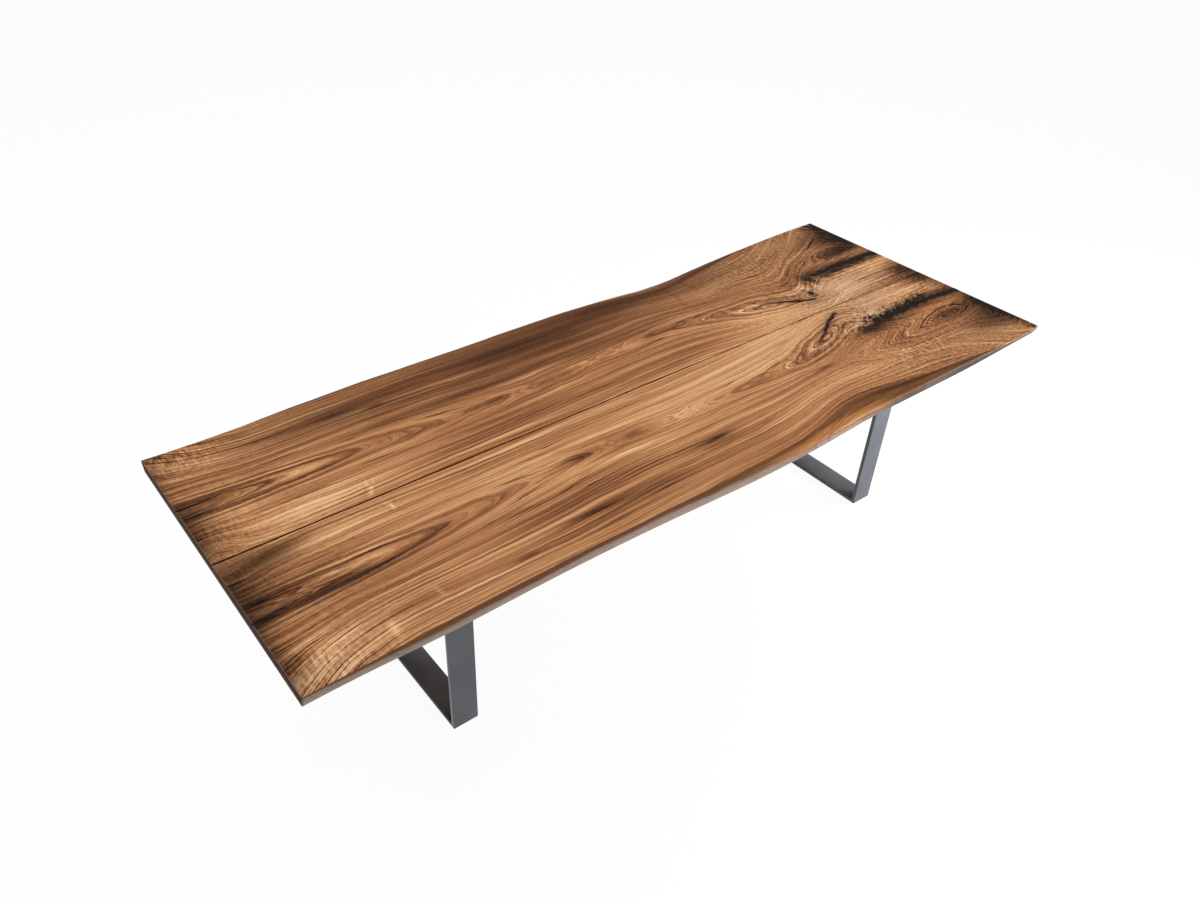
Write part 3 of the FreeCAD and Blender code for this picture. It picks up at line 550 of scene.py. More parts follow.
def islands(node):
    """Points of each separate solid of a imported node."""
    points, faces = mesh_arrays(node)
    keys = [tuple(np.round(point, POINT_DIGITS)) for point in points]
    group = {key: key for key in keys}

    def root(key):
        while group[key] != key:
            key = group[key]
        return key

    for face in faces:
        for corner in face[1:]:
            group[root(keys[corner])] = root(keys[face[0]])
    sets = {}
    for key in group:
        sets.setdefault(root(key), []).append(key)
    return [np.array(members) for members in sets.values()]


def new_object(name, data):
    """Put a mesh, lamp or camera into the scene."""
    item = bpy.data.objects.new(name, data)
    bpy.context.scene.collection.objects.link(item)
    return item


def finish_piece(piece, material, node):
    """Tie a piece to the frame, in place of the node that it stands for."""
    piece.data.materials.clear()
    piece.data.materials.append(material)
    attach(piece, "root")
    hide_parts(node)


def add_band(shape, ring, after):
    """Band of faces between two rings of points."""
    for number in range(len(ring)):
        following = (number + 1) % len(ring)
        shape.faces.new((ring[number], ring[following], after[following], after[number]))


def add_prism(shape, near_places, far_places):
    """Closed prism between two outlines."""
    near = [shape.verts.new(place) for place in near_places]
    far = [shape.verts.new(place) for place in far_places]
    caps = [shape.faces.new(near[::-1]), shape.faces.new(far)]
    add_band(shape, near, far)
    bmesh.ops.triangulate(shape, faces=caps)


def add_upright_prism(shape, outline, low, high):
    """Closed prism on an outline in plan."""
    add_prism(shape, [(x, y, low) for x, y in outline], [(x, y, high) for x, y in outline])


def shape_mesh(shape, name):
    """Mesh from an edit shape, with its faces turned outwards."""
    bmesh.ops.recalc_face_normals(shape, faces=shape.faces[:])
    mesh = bpy.data.meshes.new(name)
    shape.to_mesh(mesh)
    shape.free()
    return mesh


def fill_line(points):
    """Centre line and half breadth of a filling, station by station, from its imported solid."""
    level = points[points[:, 2] > points[:, 2].max() - EDGE_CLEARANCE]
    rows = []
    for place in np.unique(np.round(level[:, 0], PLACE_DIGITS)):
        across = level[np.abs(level[:, 0] - place) < EDGE_CLEARANCE, 1]
        rows.append((place, (across.min() + across.max()) / 2, (across.max() - across.min()) / 2))
    return np.array(rows)


def ragged_reach(places, half, seed):
    """Uneven reach of a filling to one side of its centre line."""
    coarse = wander("fill_coarse_share", places, places, seed)
    fine = wander("fill_fine_share", places, places, seed)
    return np.maximum(half * (1 + coarse + fine), LEAST_FILL)


def sliver_outline(rows, seed):
    """Ragged outline of a filling about its centre line."""
    count = max(int((rows[-1, 0] - rows[0, 0]) / FILL_STEP), FEWEST_FILL_STEPS)
    places = np.linspace(rows[0, 0], rows[-1, 0], count + 1)
    half = np.interp(places, rows[:, 0], rows[:, 2])
    middle = np.interp(places, rows[:, 0], rows[:, 1])
    middle = middle + half * wander("fill_drift_share", places, places, seed)
    out = list(zip(places, middle - ragged_reach(places, half, seed + 1)))
    back = list(zip(places, middle + ragged_reach(places, half, seed + 3)))
    return out + back[::-1]


def plug_outline(points, seed):
    """Slightly uneven round outline of a knot's plug."""
    low = points.min(0)
    high = points.max(0)
    middle = (low + high) / 2
    radius = (high[0] - low[0]) / 2
    angles = np.linspace(0, 2 * math.pi, PLUG_POINTS, endpoint=False)
    reach = radius * (PLUG_MEAN_SHARE + wander("plug_share", angles, angles, seed))
    return list(zip(middle[0] + reach * np.cos(angles), middle[1] + reach * np.sin(angles)))


def fill_outlines(node, seed):
    """Outlines and centre lines of all solids of a filling."""
    outlines = []
    lines = []
    for points in islands(node):
        reach = points.max(0) - points.min(0)
        if reach[0] > LONG_FILL_SHARE * reach[1]:
            rows = fill_line(points)
            outlines.append(sliver_outline(rows, seed))
            lines.append([(x, abs(y - SEAM_Y)) for x, y, _ in rows])
        else:
            outlines.append(plug_outline(points, seed))
            x, y, _ = (points.min(0) + points.max(0)) / 2
            lines.append([(x + shift, abs(y - SEAM_Y)) for shift in (-reach[0] / 4, reach[0] / 4)])
    return outlines, lines


def wane_depths():
    """Depths below the top at which the wane is measured, closer together near the top."""
    depth = TOP - UNDERSIDE - 2 * EDGE_CLEARANCE
    return depth * np.linspace(0, 1, WANE_LEVELS) ** 2 + EDGE_CLEARANCE


def section_rows(name, side):
    """Stations along a plank: place, seam edge, and the outer edge at each of the wane's depths."""
    points, faces = mesh_arrays(f"plank_{name}")
    tree = BVHTree.FromPolygons([Vector(point) for point in points], faces)
    inner = HALF_LENGTH - ARRIS
    inward = Vector((0, -side, 0))
    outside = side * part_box(f"plank_{name}")[1 if side > 0 else 0].y + RAY_START
    stations = []
    for place in np.linspace(-inner, inner, int(2 * inner / STATION_STEP) + 1):
        starts = [Vector((place, side * outside, TOP - depth)) for depth in wane_depths()]
        edge = np.array([tree.ray_cast(start, inward)[0].y for start in starts])
        seam = tree.ray_cast(Vector((place, SEAM_Y, TOP - SEAM_RAY_DEPTH)), -inward)[0].y
        stations.append((place, seam, edge))
    return stations


def wane_profile(edge):
    """Wane with evenly spaced points and rounded corners: their Y and their depth."""
    depths = wane_depths()
    run = np.concatenate(([0], np.cumsum(np.hypot(np.diff(edge), np.diff(depths)))))
    marks = np.linspace(0, run[-1], WANE_POINTS)
    across = np.interp(marks, run, edge)
    down = np.interp(marks, run, depths)
    for _ in range(WANE_ROUNDINGS):
        across[1:-1] = (across[:-2] + 2 * across[1:-1] + across[2:]) / 4
        down[1:-1] = (down[:-2] + 2 * down[1:-1] + down[2:]) / 4
    return across, down


def wane_turns(profiles, side):
    """How far down each wane profile the lower band begins, smoothed along the plank."""
    turns = []
    for across, down in profiles:
        run = np.hypot(np.diff(across), np.diff(down)).sum()
        widest = np.argmax(side * across) / (WANE_POINTS - 1)
        turns.append(min(widest, 1 - LOWER_BAND / run))
    padded = np.pad(turns, TURN_STATIONS // 2, mode="edge")
    return np.convolve(padded, np.full(TURN_STATIONS, 1 / TURN_STATIONS), mode="valid")


def plank_loop(place, seam, profile, turn, side):
    """Closed cross-section: place, Y and Z of its points, how far round the wane they lie, sapwood."""
    across, down = profile
    share = np.interp(np.linspace(0, 1, WANE_POINTS), (0, turn, 1), (0, 0.5, 1))
    sap = smoothstep(*SAP_WIDTHS, np.ptp(across))
    swell = np.sin(math.pi * share) ** SWELL_POWER
    spot = np.full(share.shape, place)
    waves = [wander(kind, spot, share, side) * swell for kind in ("long_wave", "short_wave")]
    across = across + side * sum(waves)
    meeting = SEAM_Y + side * EDGE_CLEARANCE
    top = np.linspace(seam + side * ARRIS, across[0], TOP_STEPS)[:-1]
    low = np.linspace(across[-1], meeting + side * ARRIS, UNDERSIDE_STEPS)[1:]
    seam_ys = (meeting, meeting, seam, seam)
    seam_zs = (UNDERSIDE + ARRIS, TOP - SEAM_GROOVE, TOP - SEAM_GROOVE, TOP - ARRIS)
    ys = np.concatenate((top, across, low, seam_ys))
    zs = np.concatenate((np.full(top.size, TOP), TOP - down, np.full(low.size, UNDERSIDE), seam_zs))
    wane = np.concatenate((np.zeros(top.size), share, np.ones(low.size), np.zeros(len(seam_ys))))
    return place, ys, zs, wane, sap


def plank_loops(name, side):
    """Cross-sections along a plank."""
    rows = section_rows(name, side)
    profiles = [wane_profile(edge) for _, _, edge in rows]
    turns = wane_turns(profiles, side)
    sections = zip(rows, profiles, turns)
    return [plank_loop(place, seam, profile, turn, side) for (place, seam, _), profile, turn in sections]


def end_loop(loop, place):
    """Loop at a sawn end, drawn in by the arris."""
    _, ys, zs, wane, sap = loop
    middle = (ys.min() + ys.max()) / 2
    half = (ys.max() - ys.min()) / 2
    zs = np.clip(zs, UNDERSIDE + ARRIS, TOP - ARRIS)
    return place, middle + (ys - middle) * (half - ARRIS) / half, zs, wane, sap


def plank_mesh(name, loops):
    """Closed mesh of a plank with its natural edge."""
    loops = [end_loop(loops[0], -HALF_LENGTH)] + loops + [end_loop(loops[-1], HALF_LENGTH)]
    shape = bmesh.new()
    wane_layer = shape.verts.layers.float.new("wane")
    sap_layer = shape.verts.layers.float.new("sap")
    rings = []
    for place, ys, zs, wane, sap in loops:
        ring = []
        for y, z, wane_share in zip(ys, zs, wane):
            vertex = shape.verts.new((place, y, z))
            vertex[wane_layer] = wane_share
            vertex[sap_layer] = sap
            ring.append(vertex)
        rings.append(ring)
    for ring, after in zip(rings, rings[1:]):
        add_band(shape, ring, after)
    caps = [shape.faces.new(rings[0]), shape.faces.new(rings[-1])]
    bmesh.ops.triangulate(shape, faces=caps)
    return shape_mesh(shape, f"plank_{name}_slab")


def add_channel_cuts(shape):
    """Recesses for the steel channels in the underside."""
    for node in CHANNEL_NODES:
        low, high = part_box(node)
        middle = (low.x + high.x) / 2
        outer = (high.x - low.x) / 2 + CHANNEL_CLEARANCE
        inner = outer - CHANNEL_WALL - 2 * CHANNEL_CLEARANCE
        crown = high.z + CHANNEL_CLEARANCE
        seat = low.z + CHANNEL_WALL
        floor = low.z - CUT_OVERRUN
        profile = [
            (-outer, floor), (outer, floor), (outer, crown), (inner, crown),
            (inner, seat), (-inner, seat), (-inner, crown), (-outer, crown),
        ]
        ends = (low.y - CHANNEL_CLEARANCE, high.y + CHANNEL_CLEARANCE)
        near, far = ([(middle + x, end, z) for x, z in profile] for end in ends)
        add_prism(shape, near, far)


def cut(piece, cutter):
    """Cut one closed mesh from another and drop the cutter."""
    modifier = piece.modifiers.new("cuts", "BOOLEAN")
    modifier.operation = "DIFFERENCE"
    modifier.solver = "MANIFOLD"
    modifier.object = cutter
    bpy.context.view_layer.update()
    result = bpy.data.meshes.new_from_object(piece.evaluated_get(bpy.context.evaluated_depsgraph_get()))
    piece.modifiers.clear()
    piece.data = result
    bpy.data.objects.remove(cutter)


def store(mesh, **layers):
    """Store numbers for the materials, one per point."""
    for name, values in layers.items():
        attribute = mesh.attributes.new(name, "FLOAT", "POINT")
        attribute.data.foreach_set("value", np.asarray(values, np.float32))


def paint_figure(mesh, name, x, v, edge, knots):
    """Growth lines, their contrast, flecks, eyes and cracks."""
    left = smoothstep(*LEFT_TURN, x)
    right = smoothstep(*RIGHT_TURN, x)
    nearest = np.min(knots[:-1], 0)
    contrast = 1 + LEFT_CONTRAST * left + RIGHT_CONTRAST * right + KNOT_CONTRAST * np.exp(-(nearest**2))
    fleck = LEFT_FLECK * left + MIDDLE_FLECK * smoothstep(*MIDDLE_TURN, x) + RIGHT_FLECK * right
    offset, width = crack_lines(x, v, CRACKS[name])
    store(
        mesh,
        ring=growth_lines(x, v, name, edge),
        contrast=contrast * (1 - spot_sum(x, v, CALMS[name])),
        fleck=fleck,
        eye=np.max([np.exp(-(radius**4)) for radius in knots], 0),
        crack=offset,
        crack_width=width,
    )


def paint_plank(mesh, name, lines, arris):
    """Figure and soft zones of a plank, point by point."""
    points = np.zeros(len(mesh.vertices) * 3)
    mesh.vertices.foreach_get("co", points)
    x, y, _ = points.reshape(-1, 3).T
    v = np.abs(y - SEAM_Y)
    warped = (x + wander("warp_along", x, v), v + wander("warp_across", x, v))
    knots = [knot_radius(*warped, knot) for knot in KNOTS[name]]
    paint_figure(mesh, name, x, v, np.interp(x, *arris), knots)
    stain = spot_sum(*warped, STAINS[name])
    shade = spot_sum(*warped, SHADES[name])
    for kind, line in lines:
        stain_reach, stain_strength, shade_reach, shade_strength = FILL_HALOS[kind]
        distance = line_distance(x, v, line)
        taper = smoothstep(*(line[0][0] + turn for turn in HALO_TURN), x)
        stain = np.maximum(stain, taper * stain_strength * np.exp(-((distance / stain_reach) ** 2)))
        shade = np.maximum(shade, shade_strength * np.exp(-((distance / shade_reach) ** 2)))
    store(
        mesh,
        tone=spot_sum(*warped, TONES[name]),
        ripple=spot_sum(*warped, RIPPLES[name]),
        pale=spot_sum(*warped, PALES[name]),
        stain=stain,
        shade=shade,
    )


def srgb(red, green, blue):
    """Linear colour of an 8-bit colour."""
    def linear(level):
        share = level / 255
        return share / 12.92 if share <= 0.04045 else ((share + 0.055) / 1.055) ** 2.4
    return (linear(red), linear(green), linear(blue), 1)


class Nodes:
    """A node tree whose nodes are made by short calls."""

    def __init__(self, tree):
        self.tree = tree

    def feed(self, socket, value):
        """Link a socket or set a constant."""
        if isinstance(value, bpy.types.NodeSocket):
            self.tree.links.new(value, socket)
        else:
            socket.default_value = value

    def node(self, kind, **inputs):
        """New node with some of its inputs linked or set."""
        node = self.tree.nodes.new(f"ShaderNode{kind}")
        for name, value in inputs.items():
            self.feed(node.inputs[name.replace("_", " ")], value)
        return node

    def math(self, operation, *values):
        node = self.node("Math")
        node.operation = operation
        for socket, value in zip(node.inputs, values):
            self.feed(socket, value)
        return node.outputs[0]

    def add(self, first, *others):
        for other in others:
            first = self.math("ADD", first, other)
        return first

    def product(self, first, second):
        return self.math("MULTIPLY", first, second)

    def absolute(self, level):
        return self.math("ABSOLUTE", level)

    def remainder(self, share):
        return self.math("SUBTRACT", 1.0, share)

    def scaled(self, level, factor, middle=0.0):
        """(level - middle) * factor"""
        return self.math("MULTIPLY_ADD", level, factor, -middle * factor)

    def centred(self, noise, factor):
        """Noise about zero."""
        return self.scaled(noise, factor, NOISE_MIDDLE)

    def between(self, level, low, high):
        """From low at level 0 to high at level 1."""
        return self.math("MULTIPLY_ADD", level, high - low, low)

    def share(self, level, low, high):
        """Smooth rise from 0 at low to 1 at high."""
        node = self.node("MapRange", Value=level, From_Min=low, From_Max=high)
        node.interpolation_type = "SMOOTHSTEP"
        return node.outputs["Result"]

    def seen(self):
        """1 for rays that the camera, a gloss or a glass sends, and 0 for the rest."""
        rays = self.node("LightPath").outputs
        direct = self.math("MAXIMUM", rays["Is Camera Ray"], rays["Is Glossy Ray"])
        return self.math("MAXIMUM", direct, rays["Is Transmission Ray"])


class Shader(Nodes):
    """A material with one surface."""

    def __init__(self, name):
        self.material = bpy.data.materials.new(name)
        self.material.use_nodes = True
        super().__init__(self.material.node_tree)
        self.surface = self.tree.nodes["Principled BSDF"]

    def place(self):
        """The shaded point, in metres."""
        return self.node("TexCoord").outputs["Object"]

    def parts(self, vector):
        """X, Y and Z of a vector."""
        return self.node("SeparateXYZ", Vector=vector).outputs

    def point(self, x, y, z):
        return self.node("CombineXYZ", X=x, Y=y, Z=z).outputs[0]

    def stretched(self, along, across, up):
        """The shaded point in features instead of metres, with a rate for each axis."""
        rates = (along, across, up)
        return self.point(*(self.scaled(part, rate) for part, rate in zip(self.parts(self.place()), rates)))

    def attribute(self, name):
        node = self.node("Attribute")
        node.attribute_name = name
        return node.outputs["Fac"]

    def noise(self, point, scale=1.0, detail=2.0, roughness=0.5, distortion=0.0):
        node = self.node("TexNoise", Vector=point, Scale=scale, Detail=detail)
        self.feed(node.inputs["Roughness"], roughness)
        self.feed(node.inputs["Distortion"], distortion)
        return node.outputs["Fac"]

    def ramp(self, level, *stops):
        """Colours by level: each stop is a position and an 8-bit colour."""
        node = self.node("ValToRGB", Fac=level)
        elements = node.color_ramp.elements
        while len(elements) < len(stops):
            elements.new(0.5)
        for element, (position, colour) in zip(elements, stops):
            element.position = position
            element.color = srgb(*colour)
        return node.outputs["Color"]

    def mix(self, share, first, second, blend="MIX"):
        node = self.node("Mix", Factor=share)
        node.data_type = "RGBA"
        node.blend_type = blend
        self.feed(node.inputs[6], first)
        self.feed(node.inputs[7], second)
        return node.outputs[2]

    def bump(self, height, distance, strength):
        node = self.node("Bump", Height=height, Distance=distance, Strength=strength)
        self.set(Normal=node.outputs["Normal"])

    def set(self, **values):
        for name, value in values.items():
            self.feed(self.surface.inputs[name.replace("_", " ")], value)


class Walnut(Shader):
    """Oiled walnut: growth lines, fibres, pores, ripple, stains, wane and end grain, with painted light and
    shade on the wane and a painted highlight on the end arris.
    """

    def __init__(self):
        super().__init__("oiled_walnut")
        self.x, self.y, self.z = self.parts(self.place())
        self.seam = self.absolute(self.add(self.y, -SEAM_Y))
        self.wane = self.attribute("wane")
        self.tremor = self.layer("tremor", self.y)
        self.ring = self.add(self.attribute("ring"), self.centred(self.tremor, TREMOR))
        self.lines = self.layer("lines", self.ring)
        self.fibre = self.layer("fibre", self.add(self.y, self.z))
        self.pores = self.turn("pores", self.layer("pores", self.add(self.y, self.z)))
        self.waves = self.cross_waves()
        self.paint()

    def layer(self, kind, across, along=None, distortion=0.0):
        """Noise layer of one kind, which runs along X unless another way is given."""
        rate_along, rate_across, offset, detail, roughness = WALNUT_LAYERS[kind]
        along = self.scaled(along or self.x, rate_along)
        point = self.point(along, self.scaled(across, rate_across), offset)
        return self.noise(point, 1.0, detail, roughness, distortion)

    def leaning_layer(self, kind, distortion=0.0):
        """Noise layer whose strokes lean towards the seam."""
        along = self.add(self.scaled(self.x, LEAN_COSINE), self.scaled(self.seam, -LEAN_SINE))
        across = self.add(self.scaled(self.x, LEAN_SINE), self.scaled(self.seam, LEAN_COSINE))
        return self.layer(kind, along, across, distortion)

    def turn(self, kind, level):
        """Soft turn of one kind."""
        return self.share(level, *WALNUT_TURNS[kind])

    def tint(self, kind, share, colour, blend="MIX"):
        """Colour with a share of one of the plain tints."""
        return self.mix(share, colour, srgb(*WALNUT_TINTS[kind]), blend)

    def weigh(self, kind, level, middle=NOISE_MIDDLE):
        """Part of a layer in the lightness."""
        return self.scaled(level, LIGHTNESS[kind], middle)

    def cross_waves(self):
        """Waves across the grain, as leaning strokes beside the seam in the right half."""
        curl = self.layer("curl", self.y)
        strokes = self.leaning_layer("strokes", STROKE_DISTORTION)
        share = self.product(self.turn("stroke_place", self.x), self.turn("stroke_reach", self.seam))
        return self.add(self.product(curl, self.remainder(share)), self.product(strokes, share))

    def figure(self, patch):
        """Part of the growth lines and eyes in the lightness."""
        broad = self.layer("broad", self.ring)
        fine = self.layer("fine", self.ring)
        crossing = self.centred(self.layer("crossing", self.ring), 2.0)
        dark_line = self.remainder(self.turn("crossing", self.absolute(crossing)))
        dark_line = self.product(dark_line, self.turn("line_patch", patch))
        angle = self.add(self.scaled(self.ring, EYE_RINGS), self.scaled(self.tremor, EYE_TREMOR))
        rounds = self.turn("eye_rings", self.math("SINE", angle))
        return self.add(
            self.weigh("broad", broad),
            self.weigh("lines", self.lines),
            self.weigh("fine", fine),
            self.weigh("crossing", dark_line, 0.0),
            self.weigh("eye_rings", self.product(rounds, self.attribute("eye")), 0.0),
        )

    def lightness(self):
        """Lightness of the heartwood."""
        patch = self.layer("patch", self.y)
        fleck = self.layer("fleck", self.y)
        return self.add(
            self.product(self.figure(patch), self.attribute("contrast")),
            self.weigh("fibre", self.fibre),
            self.weigh("patch", patch),
            self.weigh("tone", self.attribute("tone"), 0.0),
            self.product(self.weigh("waves", self.waves), self.attribute("ripple")),
            self.product(self.weigh("fleck", fleck), self.attribute("fleck")),
            self.weigh("pores", self.pores, 0.0),
            MEAN_LIGHTNESS,
        )

    def heartwood(self):
        """Colour of the flat wood, with its darker and paler zones."""
        level = self.lightness()
        colour = self.ramp(level, *WALNUT_RAMPS["heartwood"])
        shade_lines = self.centred(self.lines, SHADE_LINES)
        shade_grain = self.add(shade_lines, self.centred(self.waves, SHADE_WAVES), 1.0)
        shade = self.turn("shade", self.product(self.attribute("shade"), shade_grain))
        colour = self.tint("shade", shade, colour, "MULTIPLY")
        return self.tint("pale", self.product(self.attribute("pale"), self.turn("pale", level)), colour)

    def rim(self):
        """Colour of the wane: bark side dark, sapwood golden where the wane is wide, with painted light
        where the wane faces down: pale floor light, and painted shade under the edge towards the right end.
        """
        streak = self.layer("rim_streak", self.wane)
        level = self.add(self.wane, self.centred(streak, RIM_STREAK))
        names = ("narrow_rim", "shaded_narrow_rim", "golden_rim", "shaded_golden_rim")
        narrow, dark, golden, shaded_golden = (self.ramp(level, *WALNUT_RAMPS[name]) for name in names)
        # Towards the right end the rim turns to its darker copies, which hold painted shade.
        narrow = self.mix(self.turn("shaded_narrow_rim", self.x), narrow, dark)
        wide = self.mix(self.turn("shaded_golden_rim", self.x), golden, shaded_golden)
        sap_streak = self.turn("sap_streak", self.layer("sap_streak", self.wane))
        wide = self.tint("sap_streak", sap_streak, wide)
        rim = self.mix(self.attribute("sap"), narrow, wide)
        return self.tint("rim_lines", self.turn("rim_lines", self.lines), rim)

    def black(self):
        """Share of the black stains, the seam's shadow line and the cracks."""
        feather = self.scaled(self.leaning_layer("feather"), FEATHER_STRENGTH, FEATHER_START)
        stain = self.turn("stain", self.product(self.attribute("stain"), feather))
        seam_reach = self.math("MULTIPLY_ADD", self.x, -SEAM_LINE_TAPER, SEAM_LINE)
        seam_line = self.math("LESS_THAN", self.seam, seam_reach)
        crack_distance = self.absolute(self.attribute("crack"))
        crack = self.turn("crack", self.math("SUBTRACT", crack_distance, self.attribute("crack_width")))
        return self.math("MAXIMUM", self.math("MAXIMUM", stain, seam_line), crack)

    def paint(self):
        """Colour, gloss and relief of the surface."""
        facing = self.parts(self.node("NewGeometry").outputs["True Normal"])
        rim_share = self.product(self.turn("wane", self.wane), self.turn("underside", facing[2]))
        colour = self.mix(rim_share, self.heartwood(), self.rim())
        colour = self.tint("black", self.black(), colour)
        # Painted highlight: a lighter line along the arris at each sawn end.
        end_arris_highlight = self.turn("end_arris_highlight", self.scaled(self.absolute(self.x), -1.0, HALF_LENGTH))
        colour = self.tint("end_arris_highlight", self.scaled(end_arris_highlight, END_ARRIS_HIGHLIGHT_SHARE), colour)
        end_grain = self.ramp(self.layer("arcs", self.z, self.y), *WALNUT_RAMPS["end_grain"])
        colour = self.mix(self.turn("end_grain", self.absolute(facing[0])), colour, end_grain)
        line_gloss = self.centred(self.lines, -0.10)
        gloss = self.add(line_gloss, self.scaled(self.pores, 0.12), 0.54)
        self.set(Base_Color=colour, Roughness=gloss, Specular_IOR_Level=0.025)
        relief = (self.scaled(self.pores, -1.0), self.scaled(self.fibre, 0.35), self.scaled(self.lines, 0.3))
        self.bump(self.add(*relief), 0.12 * MM, 0.6)


def grained_material(name, grain, stops, gloss, relief, **settings):
    """Material with one noise, given by its rates along X, Y and Z, its detail and its roughness."""
    shader = Shader(name)
    *rates, detail, roughness = grain
    level = shader.noise(shader.stretched(*rates), 1.0, detail, roughness)
    shader.set(Base_Color=shader.ramp(level, *stops), Roughness=shader.between(level, *gloss), **settings)
    shader.bump(level, *relief)
    return shader.material


def resin_material():
    """Black filling resin with faint swirls and dust under a satin polish."""
    grain = (40, 160, 1, 4, 0.65)
    stops = (0.25, (8, 6, 6)), (0.75, (26, 19, 16))
    relief = (0.3 * MM, 0.5)
    return grained_material("black_filling", grain, stops, (0.36, 0.76), relief, Specular_IOR_Level=0.04)


def coated_steel(name, dark, pale, roughness):
    """Fine-textured powder coat on flat steel."""
    shader = Shader(name)
    grain = shader.noise(shader.place(), scale=1600, detail=2, roughness=0.6)
    cloud = shader.noise(shader.place(), scale=9, detail=3)
    shade = shader.add(shader.scaled(grain, 0.5), shader.scaled(cloud, 0.5))
    colour = shader.ramp(shade, (0.35, dark), (0.65, pale))
    cloud_gloss = shader.centred(cloud, 0.10)
    gloss = shader.add(cloud_gloss, shader.centred(grain, 0.12), roughness)
    shader.set(Base_Color=colour, Roughness=gloss, Metallic=0.55, Specular_IOR_Level=0.5)
    shader.bump(grain, 0.05 * MM, 0.5)
    return shader.material


def plated_steel(name, tint):
    """Zinc-plated fastener steel with turning marks."""
    grain = (900, 900, 9000, 2, 0.5)
    stops = (0.3, tint), (0.8, (205, 206, 208))
    return grained_material(name, grain, stops, (0.21, 0.51), (0.02 * MM, 0.4), Metallic=1.0)


def glide_material():
    """Black moulded plastic with a fine grain."""
    grain = (2200, 2200, 2200, 2, 0.5)
    stops = (0.3, (24, 24, 25)), (0.7, (40, 40, 41))
    return grained_material("glide_plastic", grain, stops, (0.42, 0.72), (0.04 * MM, 0.5))


def tenon_material():
    """Plain beech of the loose tenons."""
    grain = (900, 30, 900, 3, 0.5)
    stops = (0.3, (170, 128, 92)), (0.7, (212, 174, 134))
    return grained_material("tenon_beech", grain, stops, (0.5, 0.7), (0.05 * MM, 0.5))


def make_filling(node, outlines, resin, cutter_shape):
    """Piece of black resin, and the pocket for it."""
    low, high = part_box(node)
    shape = bmesh.new()
    for outline in outlines:
        add_upright_prism(shape, outline, low.z, high.z - FILL_SINK)
        add_upright_prism(cutter_shape, outline, low.z, high.z + CUT_OVERRUN)
    piece = new_object(f"{node}_resin", shape_mesh(shape, f"{node}_resin"))
    finish_piece(piece, resin, node)


def make_planks(walnut, resin):
    """Both planks with their fillings."""
    seed = FIRST_FILL_SEED
    for name, side in SIDES.items():
        loops = plank_loops(name, side)
        arris = [loop[0] for loop in loops], [abs(loop[1][TOP_STEPS - 1] - SEAM_Y) for loop in loops]
        piece = new_object(f"plank_{name}_slab", plank_mesh(name, loops))
        cutter_shape = bmesh.new()
        add_channel_cuts(cutter_shape)
        lines = []
        for kind in FILL_HALOS:
            outlines, centre_lines = fill_outlines(f"{name}_{kind}", seed)
            make_filling(f"{name}_{kind}", outlines, resin, cutter_shape)
            lines += [(kind, line) for line in centre_lines]
            seed += FILL_SEED_STEP
        cut(piece, new_object(f"{name}_cuts", shape_mesh(cutter_shape, f"{name}_cuts")))
        paint_plank(piece.data, name, lines, arris)
        piece.data.shade_smooth()
        piece.data.set_sharp_from_angle(angle=SHARP_ANGLE)
        finish_piece(piece, walnut, f"plank_{name}")


def make_bar(node, material):
    """Steel bar with eased long edges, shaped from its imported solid."""
    shape = bmesh.new()
    shape.from_mesh(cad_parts[node].data)
    bmesh.ops.remove_doubles(shape, verts=shape.verts[:], dist=MERGE_DISTANCE)
    bmesh.ops.dissolve_limit(shape, angle_limit=BAR_FLAT_ANGLE, verts=shape.verts[:], edges=shape.edges[:])
    low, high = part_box(node)

    def on_face(end):
        return min(abs(end.co.x - low.x), abs(end.co.x - high.x)) < EDGE_CLEARANCE

    long_edges = [edge for edge in shape.edges if edge.calc_length() > LONG_EDGE_SHARE * (high.x - low.x)]
    eased = [edge for edge in long_edges if all(on_face(end) for end in edge.verts)]
    bmesh.ops.bevel(
        shape, geom=eased, offset=BAR_EDGE_RADIUS, segments=BAR_EDGE_STEPS, affect="EDGES", profile=0.5
    )
    bmesh.ops.triangulate(shape, faces=[face for face in shape.faces if len(face.verts) > 4])
    piece = new_object(f"{node}_steel", shape_mesh(shape, f"{node}_steel"))
    piece.data.shade_smooth()
    piece.data.set_sharp_from_angle(angle=BAR_SHARP_ANGLE)
    finish_piece(piece, material, node)


def dress_nodes(materials):
    """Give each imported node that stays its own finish."""
    for name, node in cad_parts.items():
        for ending, material in materials.items():
            if name.endswith(ending):
                node.data.materials.clear()
                node.data.materials.append(material)


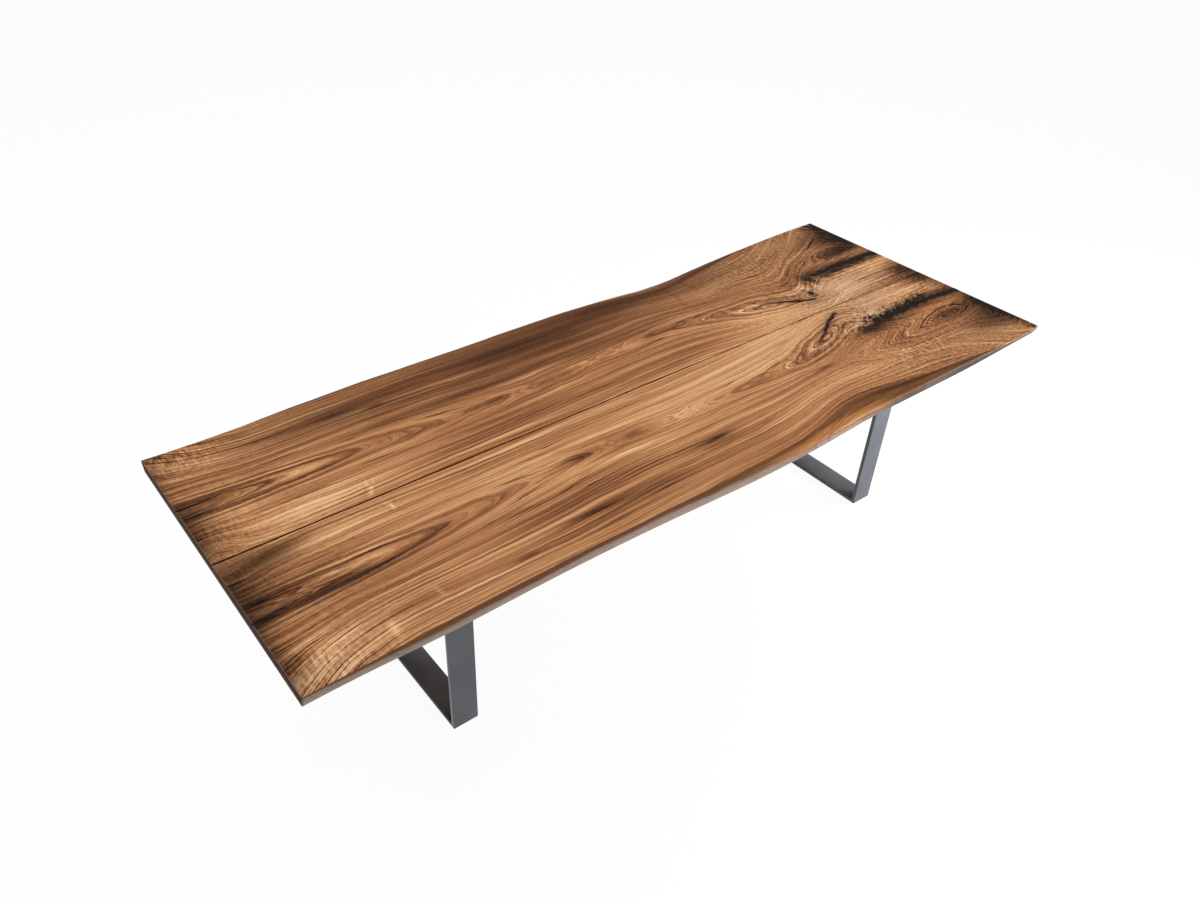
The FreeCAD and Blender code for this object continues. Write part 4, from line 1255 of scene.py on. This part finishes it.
def make_floor():
    """Pale floor that keeps the table's soft shadow and looks white to the camera."""
    shader = Shader("studio_floor")
    shader.set(Base_Color=srgb(245, 245, 245), Roughness=0.9, Specular_IOR_Level=0.0)
    glow = shader.node("Emission", Strength=1.0)
    mix = shader.node("MixShader", Fac=shader.product(shader.seen(), FLOOR_WHITE))
    shader.feed(mix.inputs[1], shader.surface.outputs[0])
    shader.feed(mix.inputs[2], glow.outputs[0])
    shader.feed(shader.tree.nodes["Material Output"].inputs["Surface"], mix.outputs[0])
    shape = bmesh.new()
    bmesh.ops.create_grid(shape, x_segments=1, y_segments=1, size=FLOOR_REACH)
    floor = new_object("studio_floor", shape_mesh(shape, "studio_floor"))
    floor.data.materials.append(shader.material)


def make_world():
    """White surroundings, with less light on the object than the camera sees."""
    world = bpy.data.worlds.new("studio")
    bpy.context.scene.world = world
    world.use_nodes = True
    nodes = Nodes(world.node_tree)
    background = world.node_tree.nodes["Background"]
    background.inputs["Color"].default_value = (1, 1, 1, 1)
    nodes.feed(background.inputs["Strength"], nodes.between(nodes.seen(), AMBIENT, 1.0))


def make_lamps():
    """Large soft lamps."""
    for name, (place, target, size, power, colour) in LAMPS.items():
        lamp = bpy.data.lights.new(name, "AREA")
        lamp.shape = "RECTANGLE"
        lamp.size, lamp.size_y = size
        lamp.energy = power
        lamp.color = colour
        item = new_object(name, lamp)
        item.location = place
        item.rotation_euler = (Vector(target) - Vector(place)).to_track_quat("-Z", "Y").to_euler()


def make_camera():
    """Camera at the photograph's angle."""
    camera = bpy.data.cameras.new("camera")
    camera.lens = CAMERA_LENS
    camera.sensor_width = SENSOR_WIDTH
    camera.clip_end = CAMERA_RANGE
    item = new_object("camera", camera)
    place = Matrix.Translation(CAMERA_PLACE) @ Matrix.Rotation(-CAMERA_YAW, 4, "Z")
    tilt = Matrix.Rotation(math.pi / 2 - CAMERA_PITCH, 4, "X") @ Matrix.Rotation(CAMERA_ROLL, 4, "Z")
    item.matrix_world = place @ tilt
    bpy.context.scene.camera = item


leg_coat = coated_steel("leg_powder_coat", (66, 68, 72), (80, 82, 87), 0.36)
make_planks(Walnut().material, resin_material())
for side_name in ("left", "right"):
    for bar in BAR_NODES:
        make_bar(f"{side_name}_{bar}", leg_coat)
dress_nodes({
    "_channel": coated_steel("channel_paint", (24, 24, 26), (36, 36, 38), 0.45),
    "_bolts": plated_steel("bolt_plating", (150, 151, 153)),
    "_washers": plated_steel("washer_plating", (158, 159, 160)),
    "_inserts": plated_steel("insert_plating", (176, 160, 120)),
    "_glide": glide_material(),
    "seam_tenons": tenon_material(),
})
make_floor()
make_world()
make_lamps()
make_camera()
bpy.context.scene.view_settings.view_transform = "Standard"
